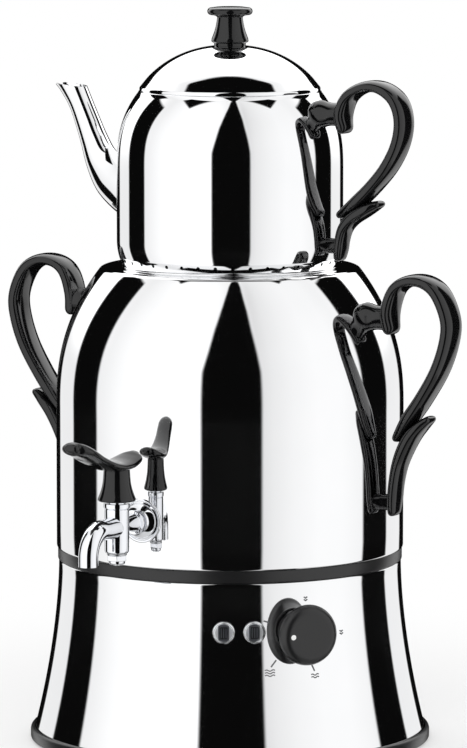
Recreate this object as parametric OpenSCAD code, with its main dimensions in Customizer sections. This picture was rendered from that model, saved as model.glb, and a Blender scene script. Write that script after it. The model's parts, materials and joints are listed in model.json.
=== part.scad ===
// Electric samovar: a heated base, a lidded teapot on a steam collar, and an urn with a plug tap.
// Millimetres. The origin is the centre of the resting plane, +Z is up, the tap points along -Y,
// the teapot's handle along +X and its spout along -X.

/* [Base] */
// Outer radius of the moulded foot ring
foot_r = 136.5; // [130:0.5:145]
// Height of the foot ring's top above the table
foot_h = 9.5; // [8.5:0.5:12]
// How far the foot ring stands out past the skirt
foot_lip = 3.5; // [2:0.5:8]
// How far the skirt's top lies inside the urn's wall
skirt_step = 1.5; // [0.6:0.1:4]
// Height of the skirt's top above the table
skirt_top_z = 124.8; // [118:0.4:135]
// How late the skirt flares: 1 is a straight cone
skirt_flare = 1.75; // [1.3:0.05:2.4]
// Width of the rubber ring that the samovar stands on
pad_w = 6; // [4:0.5:8]
// Distance of the tie rods from the urn's wall
rod_inset = 26.1; // [22:0.1:30]
// Radius of a tie rod
rod_r = 3; // [2:0.25:3.5]

/* [Urn] */
// Outer radius of the urn's wall
urn_r = 118.1; // [117.5:0.2:122]
// Height of the black band between the base and the urn
band_h = 7.8; // [6:0.2:12]
// How far the black band lies inside the urn's wall
band_inset = 0.8; // [0:0.1:1.5]
// Height of the urn above the band
urn_h = 191.4; // [185:0.4:215]
// Height of the urn's curved shoulder
shoulder_h = 92; // [80:1:96]
// How square the shoulder is
shoulder_power = 2.35; // [2:0.05:2.8]
// Radius of the round edge between the shoulder and the top
urn_edge_r = 5; // [3:0.5:6]
// How far the urn's mouth lies inside the teapot's wall
mouth_step = 5.2; // [4.6:0.1:6.5]
// Width of the top from the mouth to the foot of its round edge
ledge_w = 17.3; // [15:0.1:20]
// Depth of the dish round the mouth
dish_depth = 3.4; // [2.4:0.2:4]
// Thickness of the steel sheet
sheet = 0.8; // [0.6:0.1:1]

/* [Teapot] */
// Outer radius of the teapot's wall
pot_r = 76.7; // [76:0.1:79]
// Height of the teapot from its lower edge to its rim
pot_h = 117.8; // [112:0.4:130]
// How far the teapot's shoulder draws in to its rim
pot_rim_in = 14.7; // [12:0.1:17]
// Height of the teapot's curved shoulder
pot_shoulder_h = 53.3; // [46:0.5:58]
// Height of the rounded foot under the straight wall
pot_foot_h = 16.8; // [15:0.4:20]
// How far the rounded foot draws in
pot_foot_in = 3.5; // [3:0.1:4]
// Height of the steam vents above the teapot's lower edge
vent_z = 3.9; // [3.4:0.1:4.6]
// Radius of a steam vent
vent_r = 1.2; // [0.8:0.1:1.4]
// Number of steam vents round the foot
vent_count = 40; // [24:4:48]

/* [Lid] */
// How far the lid's edge lies inside the teapot's rim
lid_step = 0.8; // [0.4:0.1:2.4]
// Rise of the dome above the lid's edge
lid_rise = 30.8; // [26:0.4:36]
// Height of the knob above the dome
lid_knob_h = 26; // [22:0.5:32]
// Radius of the knob's top disc
lid_knob_r = 15.3; // [12:0.1:18]

/* [Handles] */
// Reach of the urn's grips from the wall to the middle of the grip
urn_grip_reach = 51.4; // [44:0.4:58]
// Rise of the urn's grips from their foot to the top of the curl
urn_grip_rise = 157; // [150:1:162]
// Height of the foot of the urn's grips above the urn's lower edge
urn_grip_z = 32; // [26:1:36]
// Width of the urn's grips
urn_grip_w = 22; // [18:0.5:24]
// Thickness of the urn's grips
urn_grip_t = 9.5; // [9:0.25:10]
// Reach of the teapot's grip from the wall to the middle of the grip
pot_grip_reach = 55.4; // [48:0.4:60]
// Rise of the teapot's grip from its foot to the top of the curl
pot_grip_rise = 117.5; // [112:0.5:121]
// Height of the foot of the teapot's grip above the teapot's lower edge
pot_grip_z = 8.6; // [7:0.2:11]
// Width of the teapot's grip
pot_grip_w = 21; // [17:0.5:23]
// Thickness of the teapot's grip
pot_grip_t = 9; // [8.5:0.25:10]

/* [Spout] */
// Reach of the spout's mouth from the teapot's wall
spout_reach = 48.9; // [42:0.3:56]
// Rise of the spout's mouth above its root
spout_rise = 71; // [64:0.5:76]
// Slope of the spout's mouth, up towards its lip
spout_mouth_tilt = 6; // [0:1:12]
// Height of the root's middle above the teapot's lower edge
spout_root_z = 46.8; // [42:0.4:52]
// Radius of the spout at its mouth
spout_r = 8.3; // [7:0.1:9.5]
// Thickness of the spout's wall
spout_wall = 1; // [0.8:0.1:1.4]

/* [Tap] */
// Height of the tap above the urn's lower edge
tap_z = 31.9; // [29:0.5:40]
// Distance of the tap's upright axis from the urn's wall
tap_reach = 30.6; // [28:0.2:36]
// Radius of the tap's barrel
barrel_r = 8.2; // [7.6:0.1:9.5]
// Height of the barrel above the tap's waterway
barrel_up = 15.7; // [14:0.1:19]
// Depth of the barrel below the tap's waterway
barrel_down = 17.5; // [15:0.5:20]
// Distance of the outlet from the tap's upright axis
outlet_reach = 36; // [32:0.5:42]
// Depth of the outlet below the tap's waterway
outlet_drop = 21.7; // [20:0.1:26]
// Outer radius of the nozzle
nozzle_r = 6.6; // [6:0.1:7.2]
// Radius of the nozzle's bore
nozzle_bore_r = 4.5; // [3.5:0.1:5]
// Radius of the rosette against the urn
rosette_r = 15; // [13:0.5:18]
// Reach of the lever's tip from the tap's upright axis
lever_reach = 61; // [52:1:70]
// Height of the lever's tip above the foot of its cone
lever_rise = 43.4; // [38:0.2:50]
// Width of the lever
lever_w = 24; // [18:0.5:28]
// Thickness of the lever
lever_t = 7.5; // [6:0.25:9]
// Radius of the lever's cone at its foot
lever_cone_r = 12.6; // [11:0.2:14]

/* [Controls] */
// Height of the knob and lamps above the table
control_z = 92; // [86:1:96]
// Bearing of the thermostat knob, from the front towards +X
knob_bearing = 52; // [48:1:60]
// Radius of the thermostat knob at its rim
knob_r = 20.3; // [18:0.1:23]
// Radius of the thermostat knob at its root
knob_root_r = 15; // [14:0.2:17]
// Length of the thermostat knob
knob_l = 22.5; // [18:0.5:28]
// Bearing of the first lamp, from the front towards +X
lamp_bearing = 28; // [25:0.5:29]
// Angle between the two lamps
lamp_pitch = 9.8; // [9.2:0.1:11]
// Radius of a lamp's lens
lamp_r = 7.5; // [6:0.1:8]
// Height of the cord's inlet above the table
inlet_z = 24; // [22:1:30]
// Radius of the cord's inlet
inlet_r = 3.6; // [3:0.1:4.5]

/* [Clearances] */
// Gap between pieces that are fixed to each other
seat_gap = 0.05; // [0.02:0.01:0.1]
// Radial gap of a turning fit
turn_gap = 0.05; // [0.02:0.01:0.09]
// Radial gap of a part that lifts off
lift_gap = 0.4; // [0.3:0.05:0.6]

/* [Hidden] */

$fn = 96;
fine = 0.01;
reach_past = 1;

// Radii that follow from the urn, the teapot and the foot
skirt_foot_r = foot_r - foot_lip;
skirt_top_r = urn_r - skirt_step;
rod_circle_r = urn_r - rod_inset;
mouth_r = pot_r - mouth_step;
shoulder_in = urn_r - mouth_r - ledge_w;
pot_rim_r = pot_r - pot_rim_in;
lid_r = pot_rim_r - lid_step;

// Heights along the axis
band_top = skirt_top_z + band_h;
urn_top = band_top + urn_h;
dish_z = urn_top - dish_depth;
edge_lean = atan(shoulder_in * shoulder_power / shoulder_h);
shoulder_top = urn_top - urn_edge_r * (1 - sin(edge_lean));
shoulder_foot = shoulder_top - shoulder_h;
collar_h = 4.6;
pot_z = dish_z + collar_h;
pot_rim_z = pot_z + pot_h;
pot_shoulder_top = pot_rim_z - 0.9;
pot_shoulder_foot = pot_shoulder_top - pot_shoulder_h;
lid_z = pot_rim_z;

// Outlines that more than one piece follows
function skirt_r_at(z) =
    skirt_top_r + (skirt_foot_r - skirt_top_r)
    * pow(max(0, (skirt_top_z - z) / (skirt_top_z - foot_h)), skirt_flare);
function urn_r_at(z) =
    urn_r - shoulder_in * pow(max(0, (z - shoulder_foot) / shoulder_h), shoulder_power);
function urn_lean_at(z) = atan(urn_r_at(z - 0.5) - urn_r_at(z + 0.5));
function pot_r_at(z) =
    pot_r
    - (pot_r - pot_rim_r) * pow(max(0, (z - pot_shoulder_foot) / pot_shoulder_h), 2.8)
    - pot_foot_in * pow(max(0, (pot_z + pot_foot_h - z) / pot_foot_h), 2);
function pot_lean_at(z) = atan(pot_r_at(z - 0.5) - pot_r_at(z + 0.5));
function dome_z_at(r) =
    lid_z + 1.2 + (lid_rise - 1.2) * pow(1 - pow(min(1, r / (lid_r - 0.2)), 2.25), 0.8);

// Helpers for outlines
function reversed(list) = [for (i = [len(list) - 1:-1:0]) list[i]];
function unit(v) = v / norm(v);
function normal_at(path, i) =
    let (a = path[max(0, i - 1)], b = path[min(len(path) - 1, i + 1)], t = unit(b - a)) [t.y, -t.x];
// A path moved sideways by a distance, to the left of its direction for a positive one
function inset(path, by) = [for (i = [0:len(path) - 1]) path[i] - by * normal_at(path, i)];
function arc(c, r, from, to, steps) =
    [for (i = [0:steps]) let (a = from + (to - from) * i / steps) c + r * [cos(a), sin(a)]];
function power_keep_sign(v, p) = sign(v) * pow(abs(v), p);

// Catmull-Rom curve through control points, with a number of steps between each pair
function curve_point(p, i, s) =
    let (a = p[max(0, i - 1)], b = p[i], c = p[i + 1], d = p[min(len(p) - 1, i + 2)])
    0.5 * ((2 * b) + (c - a) * s + (2 * a - 5 * b + 4 * c - d) * s * s
    + (3 * b - a - 3 * c + d) * s * s * s);
function curve(p, steps) =
    concat([for (i = [0:len(p) - 2], k = [0:steps - 1]) curve_point(p, i, k / steps)], [p[len(p) - 1]]);

// A sheet of even thickness turned about the axis, from its outer path
module turned_sheet(path, thickness) {
    rotate_extrude() polygon(concat(path, reversed(inset(path, thickness))));
}

// A solid turned about the axis, from an open path that is closed along the axis
module turned_solid(path) {
    rotate_extrude() polygon(concat([[0, path[0].y]], path, [[0, path[len(path) - 1].y]]));
}

// Lofts: each ring is a flat list of points, and neighbours are joined
section_sides = 18;
section_squareness = 3.5;
function section(w, t) =
    [for (i = [0:section_sides - 1]) let (a = 360 * i / section_sides)
        [w / 2 * power_keep_sign(cos(a), 2 / section_squareness),
         t / 2 * power_keep_sign(sin(a), 2 / section_squareness)]];
// A section stood across a path point in the XZ plane: its width along Y, its thickness along the normal
function ring_at(p, along, w, t) =
    let (n = [-along.y, along.x])
    [for (q = section(w, t)) [p.x + n.x * q.y, q.x, p.y + n.y * q.y]];
function ribbon_rings(path, w, t) =
    let (last = len(path) - 1, start = unit(path[0] - path[1]), end = unit(path[last] - path[last - 1]))
    concat(
        [for (a = [75, 55, 30]) ring_at(path[0] + start * t[0] / 2 * sin(a), -start,
            w[0] - t[0] * (1 - cos(a)), t[0] * cos(a))],
        [for (i = [0:last])
            ring_at(path[i], unit(path[min(last, i + 1)] - path[max(0, i - 1)]), w[i], t[i])],
        [for (a = [30, 55, 75]) ring_at(path[last] + end * t[last] / 2 * sin(a), end,
            w[last] - t[last] * (1 - cos(a)), t[last] * cos(a))]);
module ring_pair(a, b) {
    n = len(a);
    polyhedron(
        points = concat(a, b),
        faces = concat([[for (i = [0:n - 1]) i]], [[for (i = [n - 1:-1:0]) n + i]],
            [for (i = [0:n - 1]) [i, n + i, n + (i + 1) % n, (i + 1) % n]]));
}
module loft(rings) {
    for (i = [0:len(rings) - 2]) hull() ring_pair(rings[i], rings[i + 1]);
}
// A flat strip swept along a path in the XZ plane, its widths and thicknesses given along the path
module ribbon(points, widths, thicknesses, steps) {
    w = curve(widths, steps);
    t = curve(thicknesses, steps);
    loft(ribbon_rings(curve(points, steps), w, t));
}

// Places on the wall: local +X points outwards
module at_bearing(bearing, z) {
    translate([0, 0, z]) rotate([0, 0, bearing - 90]) children();
}
module along_x(r, from, to, sides = 48) {
    translate([from, 0, 0]) rotate([0, 90, 0]) cylinder(r = r, h = to - from, $fn = sides);
}

// Base: a pressed skirt on a moulded foot ring, closed below and tied up to the urn's floor
plate_z = 7;
plate_t = 1.2;
plate_dish = 1.6;
plate_r = foot_r - 13;
skirt_sink = 3;
groove_h = skirt_sink + 0.5 * sheet;
// The lip outside the skirt's groove, and the round edge that covers most of it
lip_w = foot_r - skirt_r_at(foot_h - skirt_sink) - seat_gap;
foot_edge_r = 1.15 * lip_w;
rod_count = 3;
nut_h = 4.6;
slot_count = 12;
slot_from = 0.35 * rod_circle_r;
slot_l = 0.28 * rod_circle_r;
slot_w = 3;
pad_r = foot_r - 9.5;
pad_h = 2.4;
pad_sink = 1.4;

skirt_steps = 12;
skirt_path = concat(
    [for (i = [0:skirt_steps])
        let (z = foot_h - skirt_sink + (skirt_top_z - 2 - foot_h + skirt_sink) * i / skirt_steps)
        [skirt_r_at(z), z]],
    arc([skirt_top_r - 2, skirt_top_z - 2], 2, 15, 90, 5),
    [[rod_circle_r + 7, skirt_top_z]]);

module skirt_solid(grow) {
    turned_solid([for (i = [0:skirt_steps]) skirt_path[i] + [grow, 0]]);
}

module foot_ring() {
    color("#1b1b1c") difference() {
        rotate_extrude() polygon(concat(
            [[plate_r - 6, pad_h - pad_sink], [foot_r - 1.5, pad_h - pad_sink]],
            arc([foot_r - 1.5, pad_h - pad_sink + 1.5], 1.5, -60, 0, 3),
            arc([foot_r - foot_edge_r, foot_h - foot_edge_r], foot_edge_r, 0, 72, 5),
            [[foot_r - 0.88 * lip_w, foot_h], [skirt_r_at(foot_h - skirt_sink) - 3.5, foot_h],
             [skirt_r_at(foot_h - skirt_sink) - 3.5, plate_z + 1.4],
             [plate_r + 0.5, plate_z + 1.4], [plate_r + 0.5, plate_z], [plate_r - 6, plate_z]]));
        // The groove for the skirt's edge
        rotate_extrude() translate([skirt_r_at(foot_h) - 1.1 * sheet - seat_gap, foot_h - groove_h])
            square([skirt_r_at(foot_h - skirt_sink) - skirt_r_at(foot_h) + 1.1 * sheet + 2 * seat_gap,
                groove_h + reach_past]);
        rotate_extrude() translate([pad_r - pad_w / 2, 0]) square([pad_w, pad_h]);
    }
}
module foot_pad() {
    color("#262626") rotate_extrude() translate([pad_r - pad_w / 2 + seat_gap, 0])
        square([pad_w - 2 * seat_gap, pad_h]);
}
module at_rods() {
    for (i = [0:rod_count - 1]) rotate(120 * i) translate([rod_circle_r, 0, 0]) children();
}
module bottom_plate() {
    color("#8d8f92") difference() {
        turned_sheet([[fine, plate_z + plate_dish], [rod_circle_r - 16, plate_z + plate_dish],
            [rod_circle_r - 12, plate_z], [plate_r, plate_z]], plate_t);
        at_rods() translate([0, 0, plate_z - reach_past])
            cylinder(r = rod_r + 0.3, h = plate_t + 2 * reach_past);
        // Cooling slots round the middle
        for (i = [0:slot_count - 1]) rotate(360 / slot_count * i)
            translate([slot_from, -slot_w / 2, plate_z - reach_past])
                cube([slot_l, slot_w, plate_t + plate_dish + 2 * reach_past]);
    }
}
module tie_rods() {
    color("#b9babb") at_rods() translate([0, 0, plate_z - nut_h - 0.4])
        cylinder(r = rod_r, h = urn_floor_z - plate_z + nut_h + 0.4);
}
module tie_nuts() {
    color("#c9a24a") at_rods() translate([0, 0, plate_z - nut_h]) difference() {
        cylinder(r = rod_r * 1.9, h = nut_h, $fn = 6);
        translate([0, 0, -reach_past]) cylinder(r = rod_r + seat_gap, h = nut_h + 2 * reach_past);
    }
}
module base_skirt() {
    color("#e4e5e6") difference() {
        turned_sheet(skirt_path, sheet);
        at_lamps() along_x(lamp_neck_r + hole_gap, wall_x - 10, wall_x + 5);
        at_bearing(knob_bearing, control_z) along_x(neck_r + hole_gap, wall_x - 10, wall_x + 5);
        at_bearing(180, inlet_z) along_x(gland_neck_r + hole_gap, gland_x - 10, gland_x + 5);
    }
}
module joint_band() {
    color("#1b1b1c") rotate_extrude() polygon([
        [rod_circle_r + 8, skirt_top_z], [urn_r - band_inset - 0.3, skirt_top_z],
        [urn_r - band_inset, skirt_top_z + 0.3], [urn_r - band_inset, band_top - 0.3],
        [urn_r - band_inset - 0.3, band_top], [rod_circle_r + 8, band_top]]);
}

// Urn: a drawn wall with a rolled edge and a dished mouth, and a floor welded into it
urn_corner_r = 1.6;
urn_floor_z = band_top + urn_corner_r + 0.2;
neck_h = 8.5;
seat_r = mouth_r + 4.2;
shoulder_steps = 14;
urn_wall_path = concat(
    [[rod_circle_r + 9, band_top]],
    arc([urn_r - urn_corner_r, band_top + urn_corner_r], urn_corner_r, -90, 0, 4),
    [for (i = [0:shoulder_steps])
        let (z = shoulder_foot + shoulder_h * i / shoulder_steps) [urn_r_at(z), z]]);
urn_edge_path = arc([urn_r_at(shoulder_top) - urn_edge_r * cos(edge_lean), urn_top - urn_edge_r],
    urn_edge_r, edge_lean + (90 - edge_lean) / 4, 90, 3);
urn_path = concat(urn_wall_path, urn_edge_path,
    [[seat_r + 0.6, dish_z + 0.3], [seat_r, dish_z]],
    arc([mouth_r + 1.2, dish_z - 1.2], 1.2, 90, 180, 3),
    [[mouth_r, dish_z - neck_h]]);

// Everything inside the urn's outer face, used to trim what is fastened to the wall
module urn_solid(grow) {
    turned_solid(concat(inset(urn_wall_path, -grow), [[urn_r_at(shoulder_top) - 8, urn_top + grow]]));
}
module urn_inside(shrink) {
    turned_solid(inset([for (i = [3:len(urn_wall_path) - 1]) urn_wall_path[i]], sheet + shrink));
}

// Fixing points: where screws hold the handles to the walls, as [height, lean of the wall]
urn_arm_z = band_top + urn_grip_z + 0.83 * urn_grip_rise;
urn_boss_z = band_top + urn_grip_z + 0.04 * urn_grip_rise;
pot_arm_z = pot_z + pot_grip_z + 0.815 * pot_grip_rise;
pot_boss_z = pot_z + pot_grip_z + 0.065 * pot_grip_rise;
screw_r = 2;
screw_head_r = 4.2;
screw_head_h = 2.4;
screw_grip = 7;
seal_t = 1.2;
seal_r = screw_head_r + 1;

// A screw's own frame: the origin is on the wall's outer face and +X points out along the screw
module at_fixing(r, z, lean) {
    translate([r, 0, z]) rotate([0, -lean, 0]) children();
}
module at_urn_fixings(sides = [0, 180]) {
    for (side = sides) rotate(side) {
        at_fixing(urn_r_at(urn_arm_z), urn_arm_z, urn_lean_at(urn_arm_z)) children();
        at_fixing(urn_r_at(urn_boss_z), urn_boss_z, 0) children();
    }
}
module at_pot_fixings() {
    at_fixing(pot_r_at(pot_arm_z), pot_arm_z, pot_lean_at(pot_arm_z)) children();
    at_fixing(pot_r_at(pot_boss_z), pot_boss_z, 0) children();
}
module screw_hole(grip) {
    along_x(screw_r + 0.15, -6, grip, 24);
}
module screw() {
    head_x = -sheet - seal_t - 0.2;
    difference() {
        union() {
            along_x(screw_r, head_x - fine, screw_grip - 0.5, 24);
            translate([head_x, 0, 0]) rotate([0, -90, 0])
                cylinder(r1 = screw_head_r, r2 = screw_head_r * 0.7, h = screw_head_h);
        }
        translate([head_x - screw_head_h - fine, -0.5, -screw_head_r]) cube([1.1, 1, 2 * screw_head_r]);
    }
}
module seal(inner, outer) {
    difference() {
        along_x(outer, -sheet - seal_t - 0.15, 0);
        along_x(inner, -10, 1);
    }
}

module urn_shell() {
    color("#e4e5e6") difference() {
        turned_sheet(urn_path, sheet);
        at_urn_fixings() screw_hole(5);
        at_bearing(0, tap_height) along_x(shank_r + 0.2, urn_r - 8, urn_r + 8);
    }
}
module urn_floor() {
    floor_r = urn_r - sheet - seat_gap;
    color("#c9cacc") turned_sheet(concat([[fine, urn_floor_z], [floor_r - 1.5, urn_floor_z]],
        arc([floor_r - 1.5, urn_floor_z + 1.5], 1.5, -70, 0, 3), [[floor_r, urn_floor_z + 6]]), sheet);
}
module handle_screws() {
    color("#b9babb") at_urn_fixings() screw();
}
module handle_seals() {
    color("#d9d4c7") intersection() {
        at_urn_fixings() seal(screw_r + seat_gap, seal_r);
        urn_inside(seat_gap / 2, $fn = 360);
    }
}

// Heater under the urn's floor
heat_plate_t = 3;
heat_plate_r = rod_circle_r - 12;
ring_r = 0.8 * heat_plate_r;
tube_r = 4;
// The heater's tube sits a little way into its plate
tube_z = urn_floor_z - heat_plate_t - tube_r + 0.6;
module heat_plate() {
    color("#b4b6b9") difference() {
        translate([0, 0, urn_floor_z - heat_plate_t]) cylinder(r = heat_plate_r, h = heat_plate_t);
        // A shallow seat for the heater's tube
        translate([0, 0, tube_z]) rotate_extrude() translate([ring_r, 0])
            circle(r = tube_r + 2 * seat_gap, $fn = 32);
    }
}
module heating_element() {
    gap_a = 14;
    leg_l = 26;
    pin_l = 10;
    pin_r = 1.6;
    color("#77716a") translate([0, 0, tube_z]) {
        rotate(90 + gap_a) rotate_extrude(angle = 360 - 2 * gap_a) translate([ring_r, 0])
            circle(r = tube_r, $fn = 32);
        for (s = [-1, 1]) rotate(90 + s * gap_a) translate([ring_r, 0, 0]) {
            sphere(r = tube_r, $fn = 32);
            translate([0, 0, -leg_l]) cylinder(r = tube_r, h = leg_l, $fn = 32);
            translate([0, 0, -leg_l - pin_l]) cylinder(r = pin_r, h = pin_l + reach_past, $fn = 24);
        }
    }
}
module element_clamps() {
    clamp_w = 18;
    clamp_l = 10;
    clamp_top = urn_floor_z - heat_plate_t - seat_gap;
    clamp_bottom = tube_z - tube_r - 1.4;
    groove_r = tube_r + 0.3;
    color("#c9a24a") for (a = [30, 150, 270]) rotate(a) translate([ring_r, 0, 0]) difference() {
        translate([-clamp_w / 2, -clamp_l / 2, clamp_bottom])
            cube([clamp_w, clamp_l, clamp_top - clamp_bottom]);
        translate([0, clamp_l, tube_z]) rotate([90, 0, 0])
            cylinder(r = groove_r, h = 2 * clamp_l, $fn = 32);
        translate([-groove_r, -clamp_l, tube_z]) cube([2 * groove_r, 2 * clamp_l, 2 * tube_r]);
    }
}
module thermal_cutout() {
    cap_r = 8;
    cap_h = 7;
    case_r = 6.5;
    case_h = 8;
    blade = [0.8, 6, 8];
    color("#3a3632") translate([0, 0, urn_floor_z - heat_plate_t]) {
        translate([0, 0, -cap_h]) cylinder(r = cap_r, h = cap_h);
        translate([0, 0, -cap_h - case_h]) cylinder(r = case_r, h = case_h);
        for (s = [-1, 1])
            translate([s * case_r / 2 - blade.x / 2, -blade.y / 2, -cap_h - case_h - blade.z])
                cube(blade);
    }
}
module terminal_block() {
    foot = [48, 20, 6];
    tower = [12, 16, 9];
    pitch = 15;
    way_r = 2.4;
    color("#e9e6df") translate([0, rod_circle_r - 42, plate_z + plate_dish + plate_t]) difference() {
        union() {
            translate([-foot.x / 2, 0, 0]) cube(foot);
            for (i = [-1:1])
                translate([pitch * i - tower.x / 2, (foot.y - tower.y) / 2, foot.z]) cube(tower);
        }
        for (i = [-1:1]) translate([pitch * i, 0, foot.z + way_r + 1.5]) {
            translate([0, -reach_past, 0]) rotate([-90, 0, 0])
                cylinder(r = way_r, h = foot.y + 2 * reach_past, $fn = 24);
            translate([0, foot.y / 2, 0]) cylinder(r = way_r - 0.2, h = tower.z, $fn = 24);
        }
    }
}

// Controls let into the skirt: local +X points out of it
hole_gap = 0.2;
neck_r = 5;
shaft_r = 3;
thermostat_l = 20;
wall_x = skirt_r_at(control_z);
lamp_neck_r = lamp_r - 1.8;
lamp_l = 22;
// The thermostat's case leaves room beside the nearer lamp's body
thermostat_r =
    (wall_x - lamp_l) * sin(knob_bearing - lamp_bearing - lamp_pitch) - lamp_neck_r - 0.5;
thermostat_front =
    sqrt(pow(skirt_r_at(control_z + thermostat_r) - sheet, 2) - pow(thermostat_r, 2)) - seat_gap;
knob_back = skirt_r_at(control_z - knob_root_r) + 0.5;
knob_nut_r = neck_r * 1.7;
knob_nut_t = 2.4;
knob_nut_x = skirt_r_at(control_z - knob_nut_r) + seat_gap;
shaft_top = knob_back + knob_l - 4;
gland_neck_r = inlet_r + 2.4;
gland_x = skirt_r_at(inlet_z);

module thermostat() {
    blade = [11, 6, 0.8];
    back = thermostat_front - thermostat_l;
    color("#2d2b29") at_bearing(knob_bearing, control_z) difference() {
        union() {
            along_x(thermostat_r, back, thermostat_front);
            along_x(neck_r, thermostat_front - fine, knob_nut_x + knob_nut_t + 0.3);
            for (s = [-1, 1]) translate([back + reach_past, thermostat_r / 2 * s, 0])
                translate([-blade.x, -blade.y / 2, -blade.z / 2]) cube(blade);
        }
        along_x(shaft_r + turn_gap, back + 5, wall_x + 10);
    }
}
module thermostat_nut() {
    color("#c9a24a") at_bearing(knob_bearing, control_z) difference() {
        along_x(knob_nut_r, knob_nut_x, knob_nut_x + knob_nut_t, 6);
        along_x(neck_r + seat_gap, wall_x - 1, wall_x + 10);
    }
}
module thermostat_shaft() {
    color("#b9babb") at_bearing(knob_bearing, control_z)
        along_x(shaft_r, thermostat_front - thermostat_l + 6, shaft_top);
}
module control_knob() {
    edge_r = 0.32 * knob_r;
    rim_x = knob_l - edge_r;
    hollow_r = knob_root_r - 2.2;
    color("#2a2a2b") at_bearing(knob_bearing, control_z) difference() {
        translate([knob_back, 0, 0]) rotate([0, 90, 0]) turned_solid(concat(
            [[knob_root_r - 0.6, 0]],
            curve([[knob_root_r, 0.6], [knob_root_r + 0.08 * (knob_r - knob_root_r), 0.3 * rim_x],
                [knob_root_r + 0.5 * (knob_r - knob_root_r), 0.72 * rim_x], [knob_r - 0.5, rim_x - 1]], 3),
            arc([knob_r - edge_r, rim_x], edge_r, 0, 90, 8)));
        // Hollow back over the nut, with a boss for the shaft
        difference() {
            along_x(hollow_r, knob_back - 1, knob_back + knob_l - 3);
            along_x(shaft_r + 2.4, knob_back + knob_nut_t + 1.6, knob_back + knob_l);
            for (a = [0:60:179]) rotate([a, 0, 0])
                translate([knob_back + 5, -hollow_r - fine, -0.7])
                    cube([knob_l, 2 * (hollow_r + fine), 1.4]);
        }
        along_x(shaft_r + seat_gap / 2, knob_back - 1, shaft_top + seat_gap);
        // Pointer dimple at nine o'clock
        translate([0, -0.62 * knob_r, 0])
            along_x(1.8, knob_back + knob_l - 0.4, knob_back + knob_l + 1, 32);
    }
}
module at_lamps() {
    for (i = [0:1]) at_bearing(lamp_bearing + lamp_pitch * i, control_z) children();
}
lamp_front = wall_x + 0.6;
window_w = 5.2;
window_h = 8;
window_front = wall_x + 1.8;
module lamp_bodies() {
    blade = [9, 0.8, 3];
    color("#1f1f20") at_lamps() difference() {
        union() {
            along_x(lamp_neck_r, wall_x - lamp_l, lamp_front);
            // The window's holder inside the lens
            translate([wall_x, -window_w / 2, -window_h / 2])
                cube([window_front - wall_x, window_w, window_h]);
            for (s = [-1, 1]) translate([wall_x - lamp_l + reach_past, 2.5 * s, 0])
                translate([-blade.x, -blade.y / 2, -blade.z / 2]) cube(blade);
        }
        along_x(lamp_neck_r - 1.4, wall_x - lamp_l + 2, wall_x - 1.2);
    }
}
module lamp_lenses() {
    color([0.92, 0.93, 0.95, 0.6]) difference() {
        at_lamps() difference() {
            translate([wall_x - 0.6, 0, 0]) rotate([0, 90, 0]) turned_solid(concat(
                [[lamp_r - 0.3, 0], [lamp_r, 0.5], [lamp_r, 1.6]],
                arc([lamp_r - 1.6, 1.6], 1.6, 20, 90, 4)));
            along_x(lamp_neck_r + seat_gap, wall_x - 2, lamp_front + seat_gap);
            translate([wall_x - 1, -window_w / 2 - seat_gap, -window_h / 2 - seat_gap])
                cube([window_front - wall_x + 1 + seat_gap, window_w + 2 * seat_gap,
                    window_h + 2 * seat_gap]);
        }
        skirt_solid(seat_gap, $fn = 360);
    }
}
module cord_gland() {
    color("#1b1b1c") difference() {
        union() {
            at_bearing(180, inlet_z) along_x(gland_neck_r, gland_x - 14, gland_x + 4);
            difference() {
                at_bearing(180, inlet_z) along_x(gland_neck_r + 3, gland_x - 4, gland_x + 2.2);
                skirt_solid(seat_gap, $fn = 360);
            }
        }
        at_bearing(180, inlet_z) along_x(inlet_r, gland_x - 15, gland_x + 5);
    }
}
module gland_nut() {
    color("#1b1b1c") at_bearing(180, inlet_z) difference() {
        along_x(gland_neck_r + 3.4, gland_x - 10.5, gland_x - 4.5, 6);
        along_x(gland_neck_r + seat_gap, gland_x - 12, gland_x);
    }
}

// Tap: a plug cock screwed through the urn's wall. Local +X points out, the origin is on its waterway
tap_height = band_top + tap_z;
tap_axis = urn_r + tap_reach;
shank_r = 6;
shank_bore_r = 3.6;
shank_in = urn_r - 11;
seal_thick = 1.8;
tap_nut_h = 5;
rosette_h = 5.6;
bend_r = outlet_drop - 5.7;
bend_x = tap_axis + outlet_reach - bend_r;
plug_top_r = 5.8;
plug_foot_r = 5;
port_r = 3.4;
tang_r = 3.2;
tang_h = 14;
stem_gap = 1.6;

module at_tap() {
    at_bearing(0, tap_height) children();
}
module at_tap_axis() {
    at_tap() translate([tap_axis, 0, 0]) children();
}
module tap_rosette() {
    color("#d8dadc") difference() {
        at_tap() difference() {
            translate([urn_r - 2, 0, 0]) rotate([0, 90, 0]) turned_solid([
                [rosette_r, 0], [rosette_r, 1.4], [rosette_r - 0.5, 2.3], [rosette_r - 2, 3.6],
                [rosette_r - 4, 4.9], [rosette_r - 5.4, 5.5], [rosette_r - 5.8, 6.5],
                [rosette_r - 6.6, rosette_h + 1.7], [rosette_r - 7.6, rosette_h + 2]]);
            along_x(shank_r + 0.1, urn_r - 3, urn_r + 10);
        }
        urn_solid(seat_gap, $fn = 360);
    }
}
module tap_seal() {
    color("#d9d4c7") intersection() {
        at_tap() difference() {
            along_x(shank_r + 4.5, urn_r - sheet - seal_thick, urn_r);
            along_x(shank_r + seat_gap, urn_r - 10, urn_r + 1);
        }
        urn_inside(seat_gap / 2, $fn = 360);
    }
}
module tap_nut() {
    color("#c9a24a") at_tap() difference() {
        along_x(shank_r * 1.75, urn_r - sheet - seal_thick - tap_nut_h - seat_gap,
            urn_r - sheet - seal_thick - seat_gap, 6);
        along_x(shank_r + seat_gap, urn_r - 12, urn_r);
    }
}
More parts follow.
